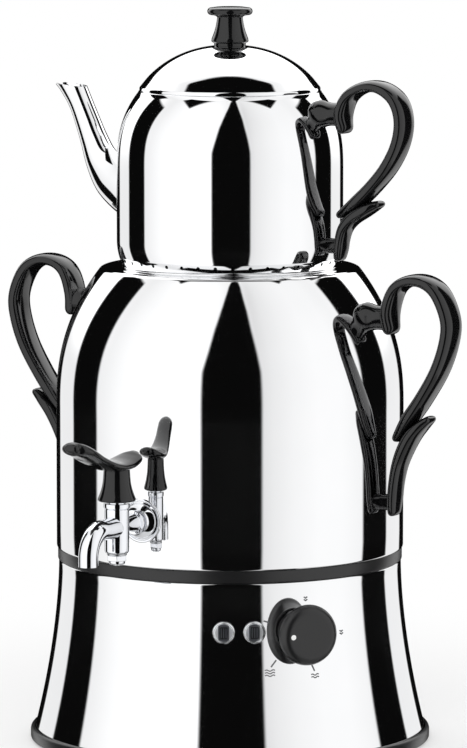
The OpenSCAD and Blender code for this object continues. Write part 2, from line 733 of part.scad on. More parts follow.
module tap_body() {
    color("#d8dadc") at_tap() difference() {
        union() {
            along_x(shank_r, shank_in, tap_axis);
            along_x(shank_r + 2.2, urn_r + rosette_h + seat_gap, urn_r + rosette_h + 4.6);
            translate([tap_axis, 0, 0]) turned_solid(concat(
                arc([barrel_r - 1.8, 1.8 - barrel_down], 1.8, -90, 0, 4),
                [[barrel_r, barrel_up - 3.6], [barrel_r - 0.5, barrel_up - 3.3]],
                [[barrel_r + 0.5, barrel_up - 2.9], [barrel_r + 0.6, barrel_up - 0.6],
                 [barrel_r, barrel_up]]));
            along_x(nozzle_r, tap_axis, bend_x);
            translate([bend_x, 0, -bend_r]) {
                rotate([90, 0, 0]) rotate_extrude(angle = 90) translate([bend_r, 0])
                    circle(r = nozzle_r, $fn = 48);
                translate([bend_r, 0, bend_r - outlet_drop])
                    cylinder(r = nozzle_r, h = outlet_drop - bend_r, $fn = 48);
            }
        }
        along_x(shank_bore_r, shank_in - reach_past, tap_axis);
        along_x(nozzle_bore_r, tap_axis, bend_x);
        translate([bend_x, 0, -bend_r]) {
            rotate([90, 0, 0]) rotate_extrude(angle = 90) translate([bend_r, 0])
                circle(r = nozzle_bore_r, $fn = 48);
            translate([bend_r, 0, bend_r - outlet_drop - reach_past])
                cylinder(r = nozzle_bore_r, h = outlet_drop - bend_r + reach_past, $fn = 48);
        }
        // The plug's tapered seat
        translate([tap_axis, 0, -barrel_down - reach_past]) cylinder(
            r1 = plug_r_at(-barrel_down - reach_past) + turn_gap,
            r2 = plug_r_at(barrel_up + reach_past) + turn_gap,
            h = barrel_up + barrel_down + 2 * reach_past);
    }
}
function plug_r_at(z) =
    plug_foot_r + (plug_top_r - plug_foot_r) * (z + barrel_down) / (barrel_up + barrel_down);
module tap_plug() {
    color("#c9a24a") at_tap_axis() difference() {
        union() {
            translate([0, 0, -barrel_down - 0.1]) cylinder(r1 = plug_r_at(-barrel_down - 0.1),
                r2 = plug_r_at(barrel_up + stem_gap), h = barrel_up + barrel_down + 0.1 + stem_gap);
            translate([0, 0, barrel_up]) cylinder(r = tang_r, h = stem_gap + tang_h);
            translate([0, 0, -barrel_down - 8]) cylinder(r = 2.4, h = 9);
        }
        // The port lies across the waterway while the tap is shut
        translate([0, 10, 0]) rotate([90, 0, 0]) cylinder(r = port_r, h = 20, $fn = 48);
    }
}
module tap_washer() {
    color("#b9babb") at_tap_axis() translate([0, 0, -barrel_down - 1.2]) difference() {
        cylinder(r = barrel_r - 1.6, h = 1.1);
        translate([0, 0, -reach_past]) cylinder(r = plug_foot_r + 0.2, h = 3);
    }
}
module tap_cap_nut() {
    color("#d8dadc") at_tap_axis() translate([0, 0, -barrel_down - 1.2 - seat_gap]) rotate([180, 0, 0])
        difference() {
            union() {
                cylinder(r = barrel_r - 1.2, h = 3.6, $fn = 6);
                translate([0, 0, 3.6 - fine]) cylinder(r1 = barrel_r - 2.6, r2 = barrel_r - 4.6, h = 3.2);
            }
            translate([0, 0, -reach_past]) cylinder(r = 2.4 + seat_gap / 2, h = 7.8);
        }
}
module tap_lever() {
    cone_z = barrel_up + stem_gap;
    cone_h = 0.48 * lever_rise;
    // Distance from the axis in per cent of the reach, and height in per cent of the rise
    points = [for (p = [[-33, 64.2], [-29.5, 62.2], [-22, 58.6], [-7, 54.4], [10, 54.4], [28, 60],
        [49, 71.5], [69, 84.6], [82, 92.6], [90, 97.2], [95, 99.4]])
        [p.x / 100 * lever_reach, p.y / 100 * lever_rise]];
    color("#1b1b1c") at_tap_axis() difference() {
        union() {
            translate([0, 0, cone_z]) {
                turned_solid(concat([[0.97 * lever_cone_r, 0], [lever_cone_r, 0.9]],
                    curve([[0.97 * lever_cone_r, 2], [0.83 * lever_cone_r, cone_h / 3],
                        [0.73 * lever_cone_r, 0.62 * cone_h], [0.68 * lever_cone_r, cone_h + 2]], 2)),
                    $fn = 40);
                ribbon(points, lever_w * [0.34, 0.62, 0.88, 1, 1, 0.96, 0.92, 0.94, 0.86, 0.64, 0.32],
                    lever_t * [0.5, 0.7, 0.84, 0.94, 1, 1, 0.94, 0.86, 0.8, 0.68, 0.5], 2);
            }
        }
        translate([0, 0, cone_z - reach_past])
            cylinder(r = tang_r + seat_gap, h = tang_h + reach_past, $fn = 32);
    }
}

// Scroll handles. Control points are [reach, height] in per cent of the grip's reach and rise
urn_grip_points = [[12, 79], [10.5, 86], [20, 95], [38, 99.3], [62, 99.6], [84, 95], [99, 84],
    [97, 74], [84, 62], [62, 50], [41, 40.5], [24, 32.5]];
urn_grip_widths = [0.8, 1, 1, 1, 1, 1, 1, 1, 1, 0.97, 0.9, 0.6];
urn_grip_thick = [0.95, 0.95, 0.9, 0.85, 0.9, 1, 1, 1, 1, 1, 1.02, 0.7];
urn_leaf_points = [[68.5, 40.6], [56, 37.3], [44, 33], [33, 26.5], [25, 19.5], [20.5, 12], [18.5, 5],
    [17.5, 0.5]];
pot_grip_points = [[21, 74.5], [19.5, 82], [28, 91.5], [48, 97.5], [71, 98], [93, 91.5], [102, 80],
    [98, 66.5], [83, 53], [62, 41.5], [40, 32], [19, 25]];
pot_leaf_points = [[68, 31.3], [59, 29.6], [47, 26.6], [33, 22.4], [23, 16.8], [18.6, 10.4], [16.8, 4.7],
    [15.4, 0.6]];
leaf_widths = [0.62, 0.86, 0.9, 0.86, 0.8, 0.76, 0.74, 0.62];
leaf_thick = [0.6, 0.85, 1, 0.98, 0.86, 0.8, 0.78, 0.7];

// The short arm from the wall to the curl, waisted between a wide root and the curl
module handle_arm(from, to, z, w, h) {
    steps = 6;
    loft([for (i = [0:steps])
        let (s = i / steps, flare = 0.5 + 0.375 * pow(1 - s, 2.4) + 0.06 * pow(s, 3))
        [for (k = [0:section_sides - 1]) let (a = 360 * k / section_sides)
            [from + (to - from) * s, w * flare * cos(a), z + h * flare * sin(a)]]]);
}
module scroll_handle(wall, foot_z, reach, rise, grip, grip_w, grip_t, widths, thick, leaf, arm_z,
    arm_from, boss_z) {
    function placed(points) = [for (p = points) [wall + p.x / 100 * reach, foot_z + p.y / 100 * rise]];
    curl_x = placed(grip)[1].x;
    foot_x = placed(leaf)[5].x;
    ribbon(placed(grip), grip_w * widths, grip_t * thick, 2);
    ribbon(placed(leaf), grip_w * leaf_widths, grip_t * leaf_thick, 2);
    handle_arm(arm_from, curl_x - grip_t / 4, arm_z, grip_w * 0.72, grip_t * 1.6);
    translate([0, 0, boss_z]) along_x(grip_w * 0.25, wall - 4, foot_x, 24);
}
module urn_handle() {
    difference() {
        scroll_handle(urn_r, band_top + urn_grip_z, urn_grip_reach, urn_grip_rise, urn_grip_points,
            urn_grip_w, urn_grip_t, urn_grip_widths, urn_grip_thick, urn_leaf_points, urn_arm_z,
            urn_r_at(urn_arm_z) - 8, urn_boss_z);
        urn_solid(seat_gap, $fn = 180);
        at_urn_fixings([0]) screw_hole(screw_grip);
    }
}
module urn_handle_right() {
    color("#161617") urn_handle();
}
module urn_handle_left() {
    color("#161617") rotate(180) urn_handle();
}

// Steam collar: sits in the urn's dish, centres the teapot and lets the steam through
collar_bore_r = mouth_r - 4;
module seat_collar() {
    neck_fit_r = mouth_r - sheet - lift_gap;
    lip_r = pot_edge_r - sheet - lift_gap;
    bead_r = pot_edge_r + 1.2;
    color("#dddee0") rotate_extrude() polygon(concat(
        [[collar_bore_r, dish_z - 7], [collar_bore_r + 0.4, dish_z - 7.4], [neck_fit_r - 0.4, dish_z - 7.4],
         [neck_fit_r, dish_z - 7], [neck_fit_r, dish_z - 1], [neck_fit_r + 0.8, dish_z],
         [bead_r - 1.4, dish_z]],
        arc([bead_r - 1.3, dish_z + 1.3], 1.3, -90, 90, 6),
        [[bead_r - 1.9, dish_z + 2.6 + 0.2]],
        arc([bead_r - 1.6, pot_z - 0.8], 0.8, -90, 90, 5),
        [[lip_r, pot_z], [lip_r, pot_z + 1.4], [lip_r - 0.4, pot_z + 1.8],
         [collar_bore_r + 0.4, pot_z + 1.8],
         [collar_bore_r, pot_z + 1.4]]));
}

// Teapot: a spun body with a foot skirt and a rolled rim
pot_edge_r = pot_r - pot_foot_in;
pot_neck_r = pot_rim_r - 4.6;
pot_steps = 12;
pot_wall_path = concat(
    [for (i = [0:5]) let (z = pot_z + pot_foot_h * i / 5) [pot_r_at(z), z]],
    [for (i = [0:pot_steps])
        let (z = pot_shoulder_foot + pot_shoulder_h * i / pot_steps) [pot_r_at(z), z]]);
pot_path = concat(pot_wall_path,
    arc([pot_rim_r - 0.9, pot_rim_z - 0.9], 0.9, 20, 90, 3),
    arc([pot_neck_r + 0.9, pot_rim_z - 0.9], 0.9, 90, 180, 3),
    [[pot_neck_r, pot_rim_z - 9]]);
strainer_hole_r = 1.8;
strainer_pitch = 5.4;

module pot_solid(grow) {
    turned_solid(inset(pot_wall_path, -grow));
}
module pot_inside(shrink) {
    turned_solid(inset(pot_wall_path, sheet + shrink));
}
module teapot_body() {
    color("#e4e5e6") difference() {
        turned_sheet(pot_path, sheet);
        for (i = [0:vent_count - 1]) rotate((i + 0.5) * 360 / vent_count)
            translate([0, 0, pot_z + vent_z]) along_x(vent_r, pot_r - 10, pot_r + 2, 24);
        at_pot_fixings() screw_hole(5);
        // Strainer holes behind the spout, in rows
        for (row = [-2:2], k = [0:4 - abs(row)])
            translate([0, (k - (4 - abs(row)) / 2) * strainer_pitch,
                spout_z + row * strainer_pitch * 0.87])
                rotate(180) along_x(strainer_hole_r, pot_r - 12, pot_r + 4, 24);
    }
}
// The floor is as low as the lower screw's seal allows, and the vents open under it
floor_rim_h = 4.2;
pot_floor_z = pot_boss_z - seal_r - floor_rim_h - 0.3;
module teapot_floor() {
    floor_r = pot_r_at(pot_floor_z) - sheet - 0.15;
    color("#c9cacc") turned_sheet(concat([[fine, pot_floor_z + 1.2], [floor_r * 0.5, pot_floor_z + 0.9],
        [floor_r - 1.5, pot_floor_z]],
        arc([floor_r - 1.5, pot_floor_z + 1.5], 1.5, -70, 0, 3),
        [[floor_r, pot_floor_z + floor_rim_h]]), sheet);
}

// Spout: a curved, tapered tube from a broad root on the wall to a level mouth
spout_z = pot_z + spout_root_z;
// Distance from the wall in per cent of the reach, and height in per cent of the rise
spout_points = [[-20.7, -3], [5, 3], [30.7, 13], [49.9, 28], [62.8, 47], [74.3, 66], [85.9, 84],
    [98.7, 100], [105.1, 107]];
// Width across and depth along the slope, as multiples of the mouth's radius
spout_widths = [4.4, 4, 3.3, 2.6, 2.24, 2.06, 2, 2.06, 2.1];
spout_depths = [5, 4.7, 3.9, 2.9, 2.34, 2.1, 2, 2.26, 2.5];
module spout_tube(shrink) {
    path = curve([for (p = spout_points)
        [pot_r + p.x / 100 * spout_reach, spout_z + p.y / 100 * spout_rise]], 2);
    w = curve(spout_r * spout_widths, 2);
    d = curve(spout_r * spout_depths, 2);
    last = len(path) - 1;
    function lean(i) = unit(path[min(last, i + 1)] - path[max(0, i - 1)]);
    function oval(p, along, rw, rd) = let (n = [-along.y, along.x])
        [for (i = [0:19]) let (a = 18 * i)
            [p.x + n.x * rd * sin(a), rw * cos(a), p.y + n.y * rd * sin(a)]];
    loft([for (i = [0:last])
        oval(path[i], i == 0 ? [1, 0] : lean(i), w[i] / 2 - shrink, d[i] / 2 - shrink)]);
}
module teapot_spout() {
    mouth_z = spout_z + spout_rise;
    cut = 8 * spout_r;
    color("#e4e5e6") rotate(180) difference() {
        spout_tube(0);
        spout_tube(spout_wall);
        pot_solid(seat_gap, $fn = 180);
        translate([pot_r + spout_reach, 0, mouth_z]) rotate([0, -spout_mouth_tilt, 0])
            translate([-cut / 2, -cut / 2, 0]) cube([cut, cut, cut / 2]);
    }
}
module teapot_handle() {
    color("#161617") difference() {
        scroll_handle(pot_r, pot_z + pot_grip_z, pot_grip_reach, pot_grip_rise, pot_grip_points,
            pot_grip_w, pot_grip_t, urn_grip_widths, urn_grip_thick, pot_leaf_points, pot_arm_z,
            pot_r_at(pot_arm_z) - 8, pot_boss_z);
        pot_solid(seat_gap, $fn = 180);
        at_pot_fixings() screw_hole(screw_grip);
    }
}
module teapot_screws() {
    color("#b9babb") at_pot_fixings() screw();
}
module teapot_seals() {
    color("#d9d4c7") intersection() {
        at_pot_fixings() seal(screw_r + seat_gap, seal_r);
        pot_inside(seat_gap / 2, $fn = 360);
    }
}

// Lid: a domed sheet with a skirt that drops into the teapot's neck, and a turned knob
skirt_fit_r = pot_neck_r - sheet - lift_gap;
knob_screw_r = 2;
knob_screw_l = 13;
dome_steps = 14;
dome_path = concat(
    [[lid_r - 0.5, lid_z], [lid_r, lid_z + 0.4], [lid_r, lid_z + 0.9]],
    [for (i = [0:dome_steps]) let (r = (lid_r - 0.3) * cos(90 * i / dome_steps * 0.97)) [r, dome_z_at(r)]],
    [[0, dome_z_at(0)]]);
module lid_dome() {
    color("#e4e5e6") difference() {
        rotate_extrude() polygon(concat(dome_path, [[0, dome_z_at(0) - sheet]],
            [for (i = [dome_steps:-1:1]) let (r = (lid_r - 0.3) * cos(90 * i / dome_steps * 0.97))
                [r * (1 - sheet / lid_r), dome_z_at(r) - sheet * (0.9 + 0.1 * sin(90 * i / dome_steps))]],
            [[lid_r - 1.1, lid_z + 0.8], [lid_r - 1.1, lid_z]]));
        translate([0, 0, lid_z]) cylinder(r = knob_screw_r + 0.15, h = lid_rise + 5, $fn = 32);
    }
}
module lid_skirt() {
    color("#c9cacc") turned_sheet([[lid_r - 1.3, lid_z + 0.6], [skirt_fit_r - 0.6, lid_z + 0.6],
        [skirt_fit_r - 0.6, lid_z - 11]], 0.6);
}
module lid_knob() {
    base = dome_z_at(0);
    top = base + lid_knob_h;
    neck_r = lid_knob_r * 0.575;
    foot_r = lid_knob_r * 0.82;
    ring_in_r = lid_knob_r * 0.7;
    disc_z = base + lid_knob_h * 0.84;
    function up(share) = base + lid_knob_h * share;
    color("#1b1b1c") difference() {
        rotate_extrude() polygon(concat(
            [for (r = [0, 4, 8]) [r, dome_z_at(r) + seat_gap]],
            [[ring_in_r, dome_z_at(ring_in_r) + seat_gap], [ring_in_r, up(0.05)],
             [foot_r - 0.5, up(0.075)], [foot_r, up(0.11)]],
            curve([[foot_r * 0.98, up(0.17)], [neck_r * 1.2, up(0.34)], [neck_r * 1.07, up(0.5)],
                [neck_r, up(0.64)], [neck_r * 1.12, up(0.7)], [lid_knob_r * 0.88, up(0.765)]], 3),
            // The disc's round edge, higher above its widest place than below it
            [for (a = [0:15:75])
                [lid_knob_r * (0.6 + 0.4 * cos(a)), disc_z + (top - 0.3 - disc_z) * sin(a)]],
            [[lid_knob_r * 0.6, top - 0.25], [lid_knob_r * 0.3, top - 0.05], [0, top]]));
        translate([0, 0, base - reach_past])
            cylinder(r = knob_screw_r + seat_gap / 2, h = knob_screw_l + reach_past, $fn = 32);
    }
}
module lid_screw() {
    head_r = 4.4;
    head_h = 2.6;
    under = dome_z_at(head_r) - sheet - seat_gap;
    color("#b9babb") difference() {
        union() {
            translate([0, 0, under - fine]) cylinder(r = knob_screw_r, h = knob_screw_l, $fn = 32);
            translate([0, 0, under - head_h]) cylinder(r1 = 0.73 * head_r, r2 = head_r, h = head_h);
        }
        translate([-head_r, -0.5, under - head_h - fine]) cube([2 * head_r, 1, 1.1]);
    }
}

foot_ring();
foot_pad();
bottom_plate();
tie_rods();
tie_nuts();
base_skirt();
joint_band();
urn_shell();
urn_floor();
heat_plate();
heating_element();
element_clamps();
thermal_cutout();
terminal_block();
thermostat();
thermostat_nut();
thermostat_shaft();
control_knob();
lamp_bodies();
lamp_lenses();
cord_gland();
gland_nut();
tap_rosette();
tap_seal();
tap_nut();
tap_body();
tap_plug();
tap_washer();
tap_cap_nut();
tap_lever();
urn_handle_right();
urn_handle_left();
handle_screws();
handle_seals();
seat_collar();
teapot_body();
teapot_floor();
teapot_spout();
teapot_handle();
teapot_screws();
teapot_seals();
lid_dome();
lid_skirt();
lid_knob();
lid_screw();
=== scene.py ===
"""Looks of an electric samovar: polished sheet steel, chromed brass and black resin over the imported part.

Sizes are in millimetres here and become metres in the mesh. The frame is the part's own: the origin is the
centre of the resting plane, +Z is up, the tap points along -Y and the teapot's handle along +X.
"""

import json
import logging
import math
from collections.abc import Callable
from dataclasses import dataclass
from enum import Enum

import bpy
from mathutils import Matrix, Vector


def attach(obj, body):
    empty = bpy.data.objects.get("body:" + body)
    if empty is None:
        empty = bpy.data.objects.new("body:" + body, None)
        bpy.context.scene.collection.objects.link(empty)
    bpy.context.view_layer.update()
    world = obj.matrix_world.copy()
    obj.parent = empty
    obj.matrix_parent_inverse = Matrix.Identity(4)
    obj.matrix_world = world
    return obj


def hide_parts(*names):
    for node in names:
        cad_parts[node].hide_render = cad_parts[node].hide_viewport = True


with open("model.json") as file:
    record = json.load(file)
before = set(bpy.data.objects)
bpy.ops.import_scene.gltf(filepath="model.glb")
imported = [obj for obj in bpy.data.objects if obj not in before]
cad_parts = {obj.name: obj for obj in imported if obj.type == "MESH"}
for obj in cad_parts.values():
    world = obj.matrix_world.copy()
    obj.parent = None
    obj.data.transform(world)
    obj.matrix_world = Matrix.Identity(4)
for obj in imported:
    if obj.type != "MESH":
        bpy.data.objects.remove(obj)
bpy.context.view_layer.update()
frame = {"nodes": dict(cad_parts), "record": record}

log = logging.getLogger("samovar")
MM = 0.001
WHOLE_TURN = 360.0
Point = tuple[float, float]
Triple = tuple[float, float, float]
Feed = float | bpy.types.NodeSocket | bpy.types.Node


# ---------------------------------------------------------------------------------------------------------
# Outlines


def unit(x: float, z: float) -> Point:
    """Scale a flat direction to length 1."""
    size = math.hypot(x, z)
    return (x / size, z / size)


def arc(centre: Point, radius: float, start: float, end: float, steps: int) -> list[Point]:
    """Points on a round edge.

    Args:
        centre: Middle of the arc, as (radius from the axis, height).
        radius: Radius of the arc.
        start: First angle in degrees.
        end: Last angle in degrees.
        steps: Number of spans.

    Returns:
        The points from the first angle to the last.
    """
    turns = [math.radians(start + (end - start) * i / steps) for i in range(steps + 1)]
    return [(centre[0] + radius * math.cos(t), centre[1] + radius * math.sin(t)) for t in turns]


def flowing(points: list[tuple[float, ...]], steps: int) -> list[tuple[float, ...]]:
    """Catmull-Rom curve through control points of any dimension.

    Args:
        points: Control points that the curve passes through.
        steps: Spans between each pair of control points.

    Returns:
        The points of the curve, with the first and last control point as its ends.
    """
    last = len(points) - 1
    made = []
    for i in range(last):
        a, b, c, d = points[max(0, i - 1)], points[i], points[i + 1], points[min(last, i + 2)]
        for k in range(steps):
            s = k / steps
            made.append(tuple(
                0.5 * (2 * q + (r - p) * s + (2 * p - 5 * q + 4 * r - t) * s * s
                       + (3 * q - p - 3 * r + t) * s ** 3)
                for p, q, r, t in zip(a, b, c, d)))
    return made + [tuple(points[last])]


def moved_in(path: list[Point], by: float) -> list[Point]:
    """The path that lies a distance to the inner side of an outer path that runs upwards.

    Args:
        path: Outer path as (radius, height), from its lower end.
        by: Distance inwards; a negative one goes outwards.

    Returns:
        The moved path, never past the axis.
    """
    last = len(path) - 1
    made = []
    for i, (r, z) in enumerate(path):
        a, b = path[max(0, i - 1)], path[min(last, i + 1)]
        along = unit(b[0] - a[0], b[1] - a[1])
        made.append((max(0.0, r - by * along[1]), z + by * along[0]))
    return made


def sheet(path: list[Point], thickness: float) -> list[Point]:
    """Closed outline of a sheet wall, from its outer path."""
    return path + moved_in(path, thickness)[::-1]


@dataclass(frozen=True)
class Form:
    """Sizes that several sub-assemblies share, the same as in the part's source."""

    foot_r: float = 136.45
    foot_h: float = 9.5
    skirt_foot_r: float = 133.0
    skirt_top_r: float = 116.6
    skirt_top: float = 124.8
    skirt_power: float = 1.75
    band_top: float = 132.6
    urn_r: float = 118.1
    urn_corner_r: float = 1.6
    urn_top: float = 324.0
    shoulder_top: float = 322.0
    shoulder_h: float = 92.0
    shoulder_in: float = 29.3
    shoulder_power: float = 2.35
    edge_lean: float = 36.8
    mouth_r: float = 71.5
    dish_z: float = 320.6
    pot_z: float = 325.2
    pot_r: float = 76.7
    pot_rim_z: float = 443.0
    pot_rim_r: float = 62.0
    pot_neck_r: float = 57.4
    pot_edge_r: float = 0.9
    pot_foot_h: float = 16.8
    pot_foot_in: float = 3.5
    pot_shoulder_h: float = 53.3
    pot_shoulder_power: float = 2.8
    lid_r: float = 61.2
    lid_rise: float = 30.8
    lid_edge_h: float = 1.2
    lid_powers: Point = (2.25, 0.8)
    steel: float = 0.8
    control_z: float = 92.0
    knob_bearing: float = 52.0
    lamp_bearings: Point = (28.0, 37.8)

    @property
    def pot_shoulder_z(self) -> float:
        """Height at which the teapot's shoulder starts."""
        return self.pot_rim_z - self.pot_edge_r - self.pot_shoulder_h

    def skirt(self, z: float) -> float:
        """Radius of the base's skirt at a height."""
        down = max(0.0, (self.skirt_top - z) / (self.skirt_top - self.foot_h))
        return self.skirt_top_r + (self.skirt_foot_r - self.skirt_top_r) * down ** self.skirt_power

    def urn(self, z: float) -> float:
        """Radius of the urn's wall at a height."""
        up = max(0.0, (z - self.shoulder_top + self.shoulder_h) / self.shoulder_h)
        return self.urn_r - self.shoulder_in * up ** self.shoulder_power

    def pot(self, z: float) -> float:
        """Radius of the teapot's wall at a height.

        Args:
            z: Height above the resting plane.

        Returns:
            The outer radius.
        """
        up = max(0.0, (z - self.pot_shoulder_z) / self.pot_shoulder_h)
        low = max(0.0, (self.pot_z + self.pot_foot_h - z) / self.pot_foot_h)
        return (self.pot_r - (self.pot_r - self.pot_rim_r) * up ** self.pot_shoulder_power
                - self.pot_foot_in * low ** 2)

    def dome(self, r: float) -> float:
        """Height of the lid's dome at a radius.

        Args:
            r: Distance from the axis.

        Returns:
            The height above the resting plane.
        """
        out = min(1.0, r / (self.lid_r - 0.2))
        fall, flat = self.lid_powers
        edge = self.lid_edge_h
        return self.pot_rim_z + edge + (self.lid_rise - edge) * (1 - out ** fall) ** flat


FORM = Form()


def urn_wall() -> list[Point]:
    """Outer path of the urn from its lower edge to the top of its shoulder.

    Returns:
        The path as (radius, height).
    """
    f = FORM
    steps, foot = 30, f.band_top + f.urn_corner_r
    rise = [f.shoulder_top - f.shoulder_h + f.shoulder_h * i / steps for i in range(steps + 1)]
    low = [foot + (rise[0] - foot) * i / 8 for i in range(1, 8)]
    return (arc((f.urn_r - f.urn_corner_r, foot), f.urn_corner_r, -90, 0, 6)
            + [(f.urn_r, z) for z in low] + [(f.urn(z), z) for z in rise])


def pot_wall() -> list[Point]:
    """Outer path of the teapot from its lower edge to the top of its shoulder.

    Returns:
        The path as (radius, height).
    """
    f = FORM
    foot = [f.pot_z + f.pot_foot_h * i / 8 for i in range(8)]
    wall = [f.pot_z + f.pot_foot_h + (f.pot_shoulder_z - f.pot_z - f.pot_foot_h) * i / 6 for i in range(6)]
    top = [f.pot_shoulder_z + f.pot_shoulder_h * i / 26 for i in range(27)]
    return [(f.pot(z), z) for z in foot + wall + top]


# ---------------------------------------------------------------------------------------------------------
# Places

# Turns a piece's own +Z to +X
LAID_OUT = Matrix.Rotation(math.radians(90), 4, "Y")


def on_wall(bearing: float, z: float, out: float = 0.0) -> Matrix:
    """A frame on a wall: local +X points outwards at a bearing from the front, towards +X."""
    return (Matrix.Translation((0, 0, z * MM)) @ Matrix.Rotation(math.radians(bearing - 90), 4, "Z")
            @ Matrix.Translation((out * MM, 0, 0)))


def axis_out(bearing: float, z: float, out: float) -> Matrix:
    """A frame on a wall whose local +Z points outwards, for turned pieces."""
    return on_wall(bearing, z, out) @ LAID_OUT


# ---------------------------------------------------------------------------------------------------------
# Modelling moves


class Section(Enum):
    """Shape of a swept piece's cross-section."""

    STRAP = "strap"
    ROUND = "round"


class Blend(Enum):
    """What a second closed mesh does to the first."""

    ADD = "UNION"
    CUT = "DIFFERENCE"
    KEEP = "INTERSECT"


@dataclass(frozen=True)
class Ring:
    """One place along a swept piece, in the XZ plane.

    The slope is in degrees from +X towards +Z, the width lies along Y, and the depth across the path.
    """

    x: float
    z: float
    slope: float
    width: float
    depth: float

    @classmethod
    def round(cls, x: float, z: float, slope: float, radius: float) -> "Ring":
        """One place along a round bar."""
        return cls(x, z, slope, 2 * radius, 2 * radius)


class Bench:
    """The modelling moves. Each one leaves its object at the origin, with the place in its mesh."""

    def clear(self) -> None:
        """Leave edit mode and deselect everything."""
        if bpy.context.mode != "OBJECT":
            bpy.ops.object.mode_set(mode="OBJECT")
        bpy.ops.object.select_all(action="DESELECT")

    def pick(self, piece: bpy.types.Object) -> None:
        """Select one object alone and make it active.

        Args:
            piece: The object.
        """
        self.clear()
        piece.select_set(True)
        bpy.context.view_layer.objects.active = piece

    def edit(self) -> None:
        """Enter edit mode with the whole mesh selected."""
        bpy.ops.object.mode_set(mode="EDIT")
        bpy.ops.mesh.select_all(action="SELECT")

    def named(self, name: str) -> bpy.types.Object:
        """Name the active object and its mesh.

        Args:
            name: The name.

        Returns:
            The active object.
        """
        piece = bpy.context.object
        piece.name = name
        piece.data.name = name
        return piece

    def turned(self, name: str, outline: list[Point], steps: int = 256, closed: bool = True
               ) -> bpy.types.Object:
        """Turn an outline about +Z.

        Args:
            name: Name of the piece.
            outline: Points as (radius, height).
            steps: Spans round the axis.
            closed: Whether the last point joins the first.

        Returns:
            The turned piece, its faces pointing outwards.
        """
        self.clear()
        points = outline + outline[:1] if closed else outline
        bpy.ops.mesh.primitive_plane_add(size=MM)
        piece = self.named(name)
        self.edit()
        bpy.ops.mesh.merge(type="CENTER")
        bpy.ops.transform.translate(value=(points[0][0] * MM, 0, points[0][1] * MM))
        for a, b in zip(points, points[1:]):
            step = ((b[0] - a[0]) * MM, 0, (b[1] - a[1]) * MM)
            bpy.ops.mesh.extrude_vertices_move(TRANSFORM_OT_translate={"value": step})
        bpy.ops.mesh.select_all(action="SELECT")
        bpy.ops.mesh.spin(steps=steps, angle=math.tau, center=(0, 0, 0), axis=(0, 0, 1),
                          use_auto_merge=True)
        self.close_up()
        return piece

    def close_up(self) -> None:
        """Merge doubles, turn the faces outwards and leave edit mode."""
        bpy.ops.mesh.select_all(action="SELECT")
        bpy.ops.mesh.remove_doubles(threshold=0.002 * MM)
        bpy.ops.mesh.normals_make_consistent(inside=False)
        bpy.ops.object.mode_set(mode="OBJECT")

    def swept(self, name: str, rings: list[Ring], section: Section, sides: int = 40
              ) -> bpy.types.Object:
        """Sweep a section along rings in the XZ plane.

        Args:
            name: Name of the piece.
            rings: Places along the path, from first to last.
            section: Pillowed strap with soft edges, or round.
            sides: Sides of a round section.

        Returns:
            The swept piece with closed ends.
        """
        self.clear()
        first = rings[0]
        if section is Section.STRAP:
            bpy.ops.mesh.primitive_plane_add(size=MM)
        else:
            bpy.ops.mesh.primitive_circle_add(vertices=sides, radius=MM / 2, fill_type="NGON")
        piece = self.named(name)
        self.edit()
        if section is Section.STRAP:
            bpy.ops.mesh.bevel(offset=0.48 * MM, segments=9, profile=0.58, affect="VERTICES")
        bpy.ops.transform.resize(value=(first.depth, first.width, 1), center_override=(0, 0, 0))
        place = Vector((first.x * MM, 0, first.z * MM))
        bpy.ops.transform.translate(value=place)
        bpy.ops.transform.rotate(value=math.radians(first.slope - 90), orient_axis="Y",
                                 center_override=place)
        for a, b in zip(rings, rings[1:]):
            place = Vector((b.x * MM, 0, b.z * MM))
            bpy.ops.mesh.extrude_region_move(
                TRANSFORM_OT_translate={"value": ((b.x - a.x) * MM, 0, (b.z - a.z) * MM)})
            bpy.ops.transform.rotate(value=math.radians(b.slope - a.slope), orient_axis="Y",
                                     center_override=place)
            deep = b.depth / a.depth
            bpy.ops.transform.resize(value=(deep, b.width / a.width, deep), center_override=place)
        self.close_up()
        return piece

    def block(self, name: str, low: Triple, high: Triple) -> bpy.types.Object:
        """A box between two corners, as a start for small parts and cutters.

        Args:
            name: Name of the piece.
            low: Its lower corner.
            high: Its upper corner.

        Returns:
            The box.
        """
        self.clear()
        middle = [(a + b) / 2 * MM for a, b in zip(low, high)]
        bpy.ops.mesh.primitive_cube_add(size=1)
        piece = self.named(name)
        self.edit()
        bpy.ops.transform.resize(value=[(b - a) * MM for a, b in zip(low, high)],
                                 center_override=(0, 0, 0))
        bpy.ops.transform.translate(value=middle)
        bpy.ops.object.mode_set(mode="OBJECT")
        return piece

    def rod(self, name: str, radius: float, start: float, end: float, sides: int = 32
            ) -> bpy.types.Object:
        """A round bar along +Z with crisp ends, as a start for necks and cutters.

        Args:
            name: Name of the piece.
            radius: Its radius.
            start: Height of its lower end.
            end: Height of its upper end.
            sides: Number of its sides.

        Returns:
            The bar.
        """
        self.clear()
        bpy.ops.mesh.primitive_cylinder_add(vertices=sides, radius=radius * MM, depth=(end - start) * MM,
                                            location=(0, 0, (start + end) / 2 * MM))
        piece = self.named(name)
        bpy.ops.object.transform_apply(location=True, rotation=True, scale=True)
        return piece

    def place(self, piece: bpy.types.Object, where: Matrix) -> bpy.types.Object:
        """Move a finished mesh to its place and leave the object at the origin.

        Args:
            piece: The finished mesh.
            where: Its place, in metres.

        Returns:
            The piece.
        """
        self.pick(piece)
        piece.matrix_world = where
        bpy.ops.object.transform_apply(location=True, rotation=True, scale=True)
        return piece

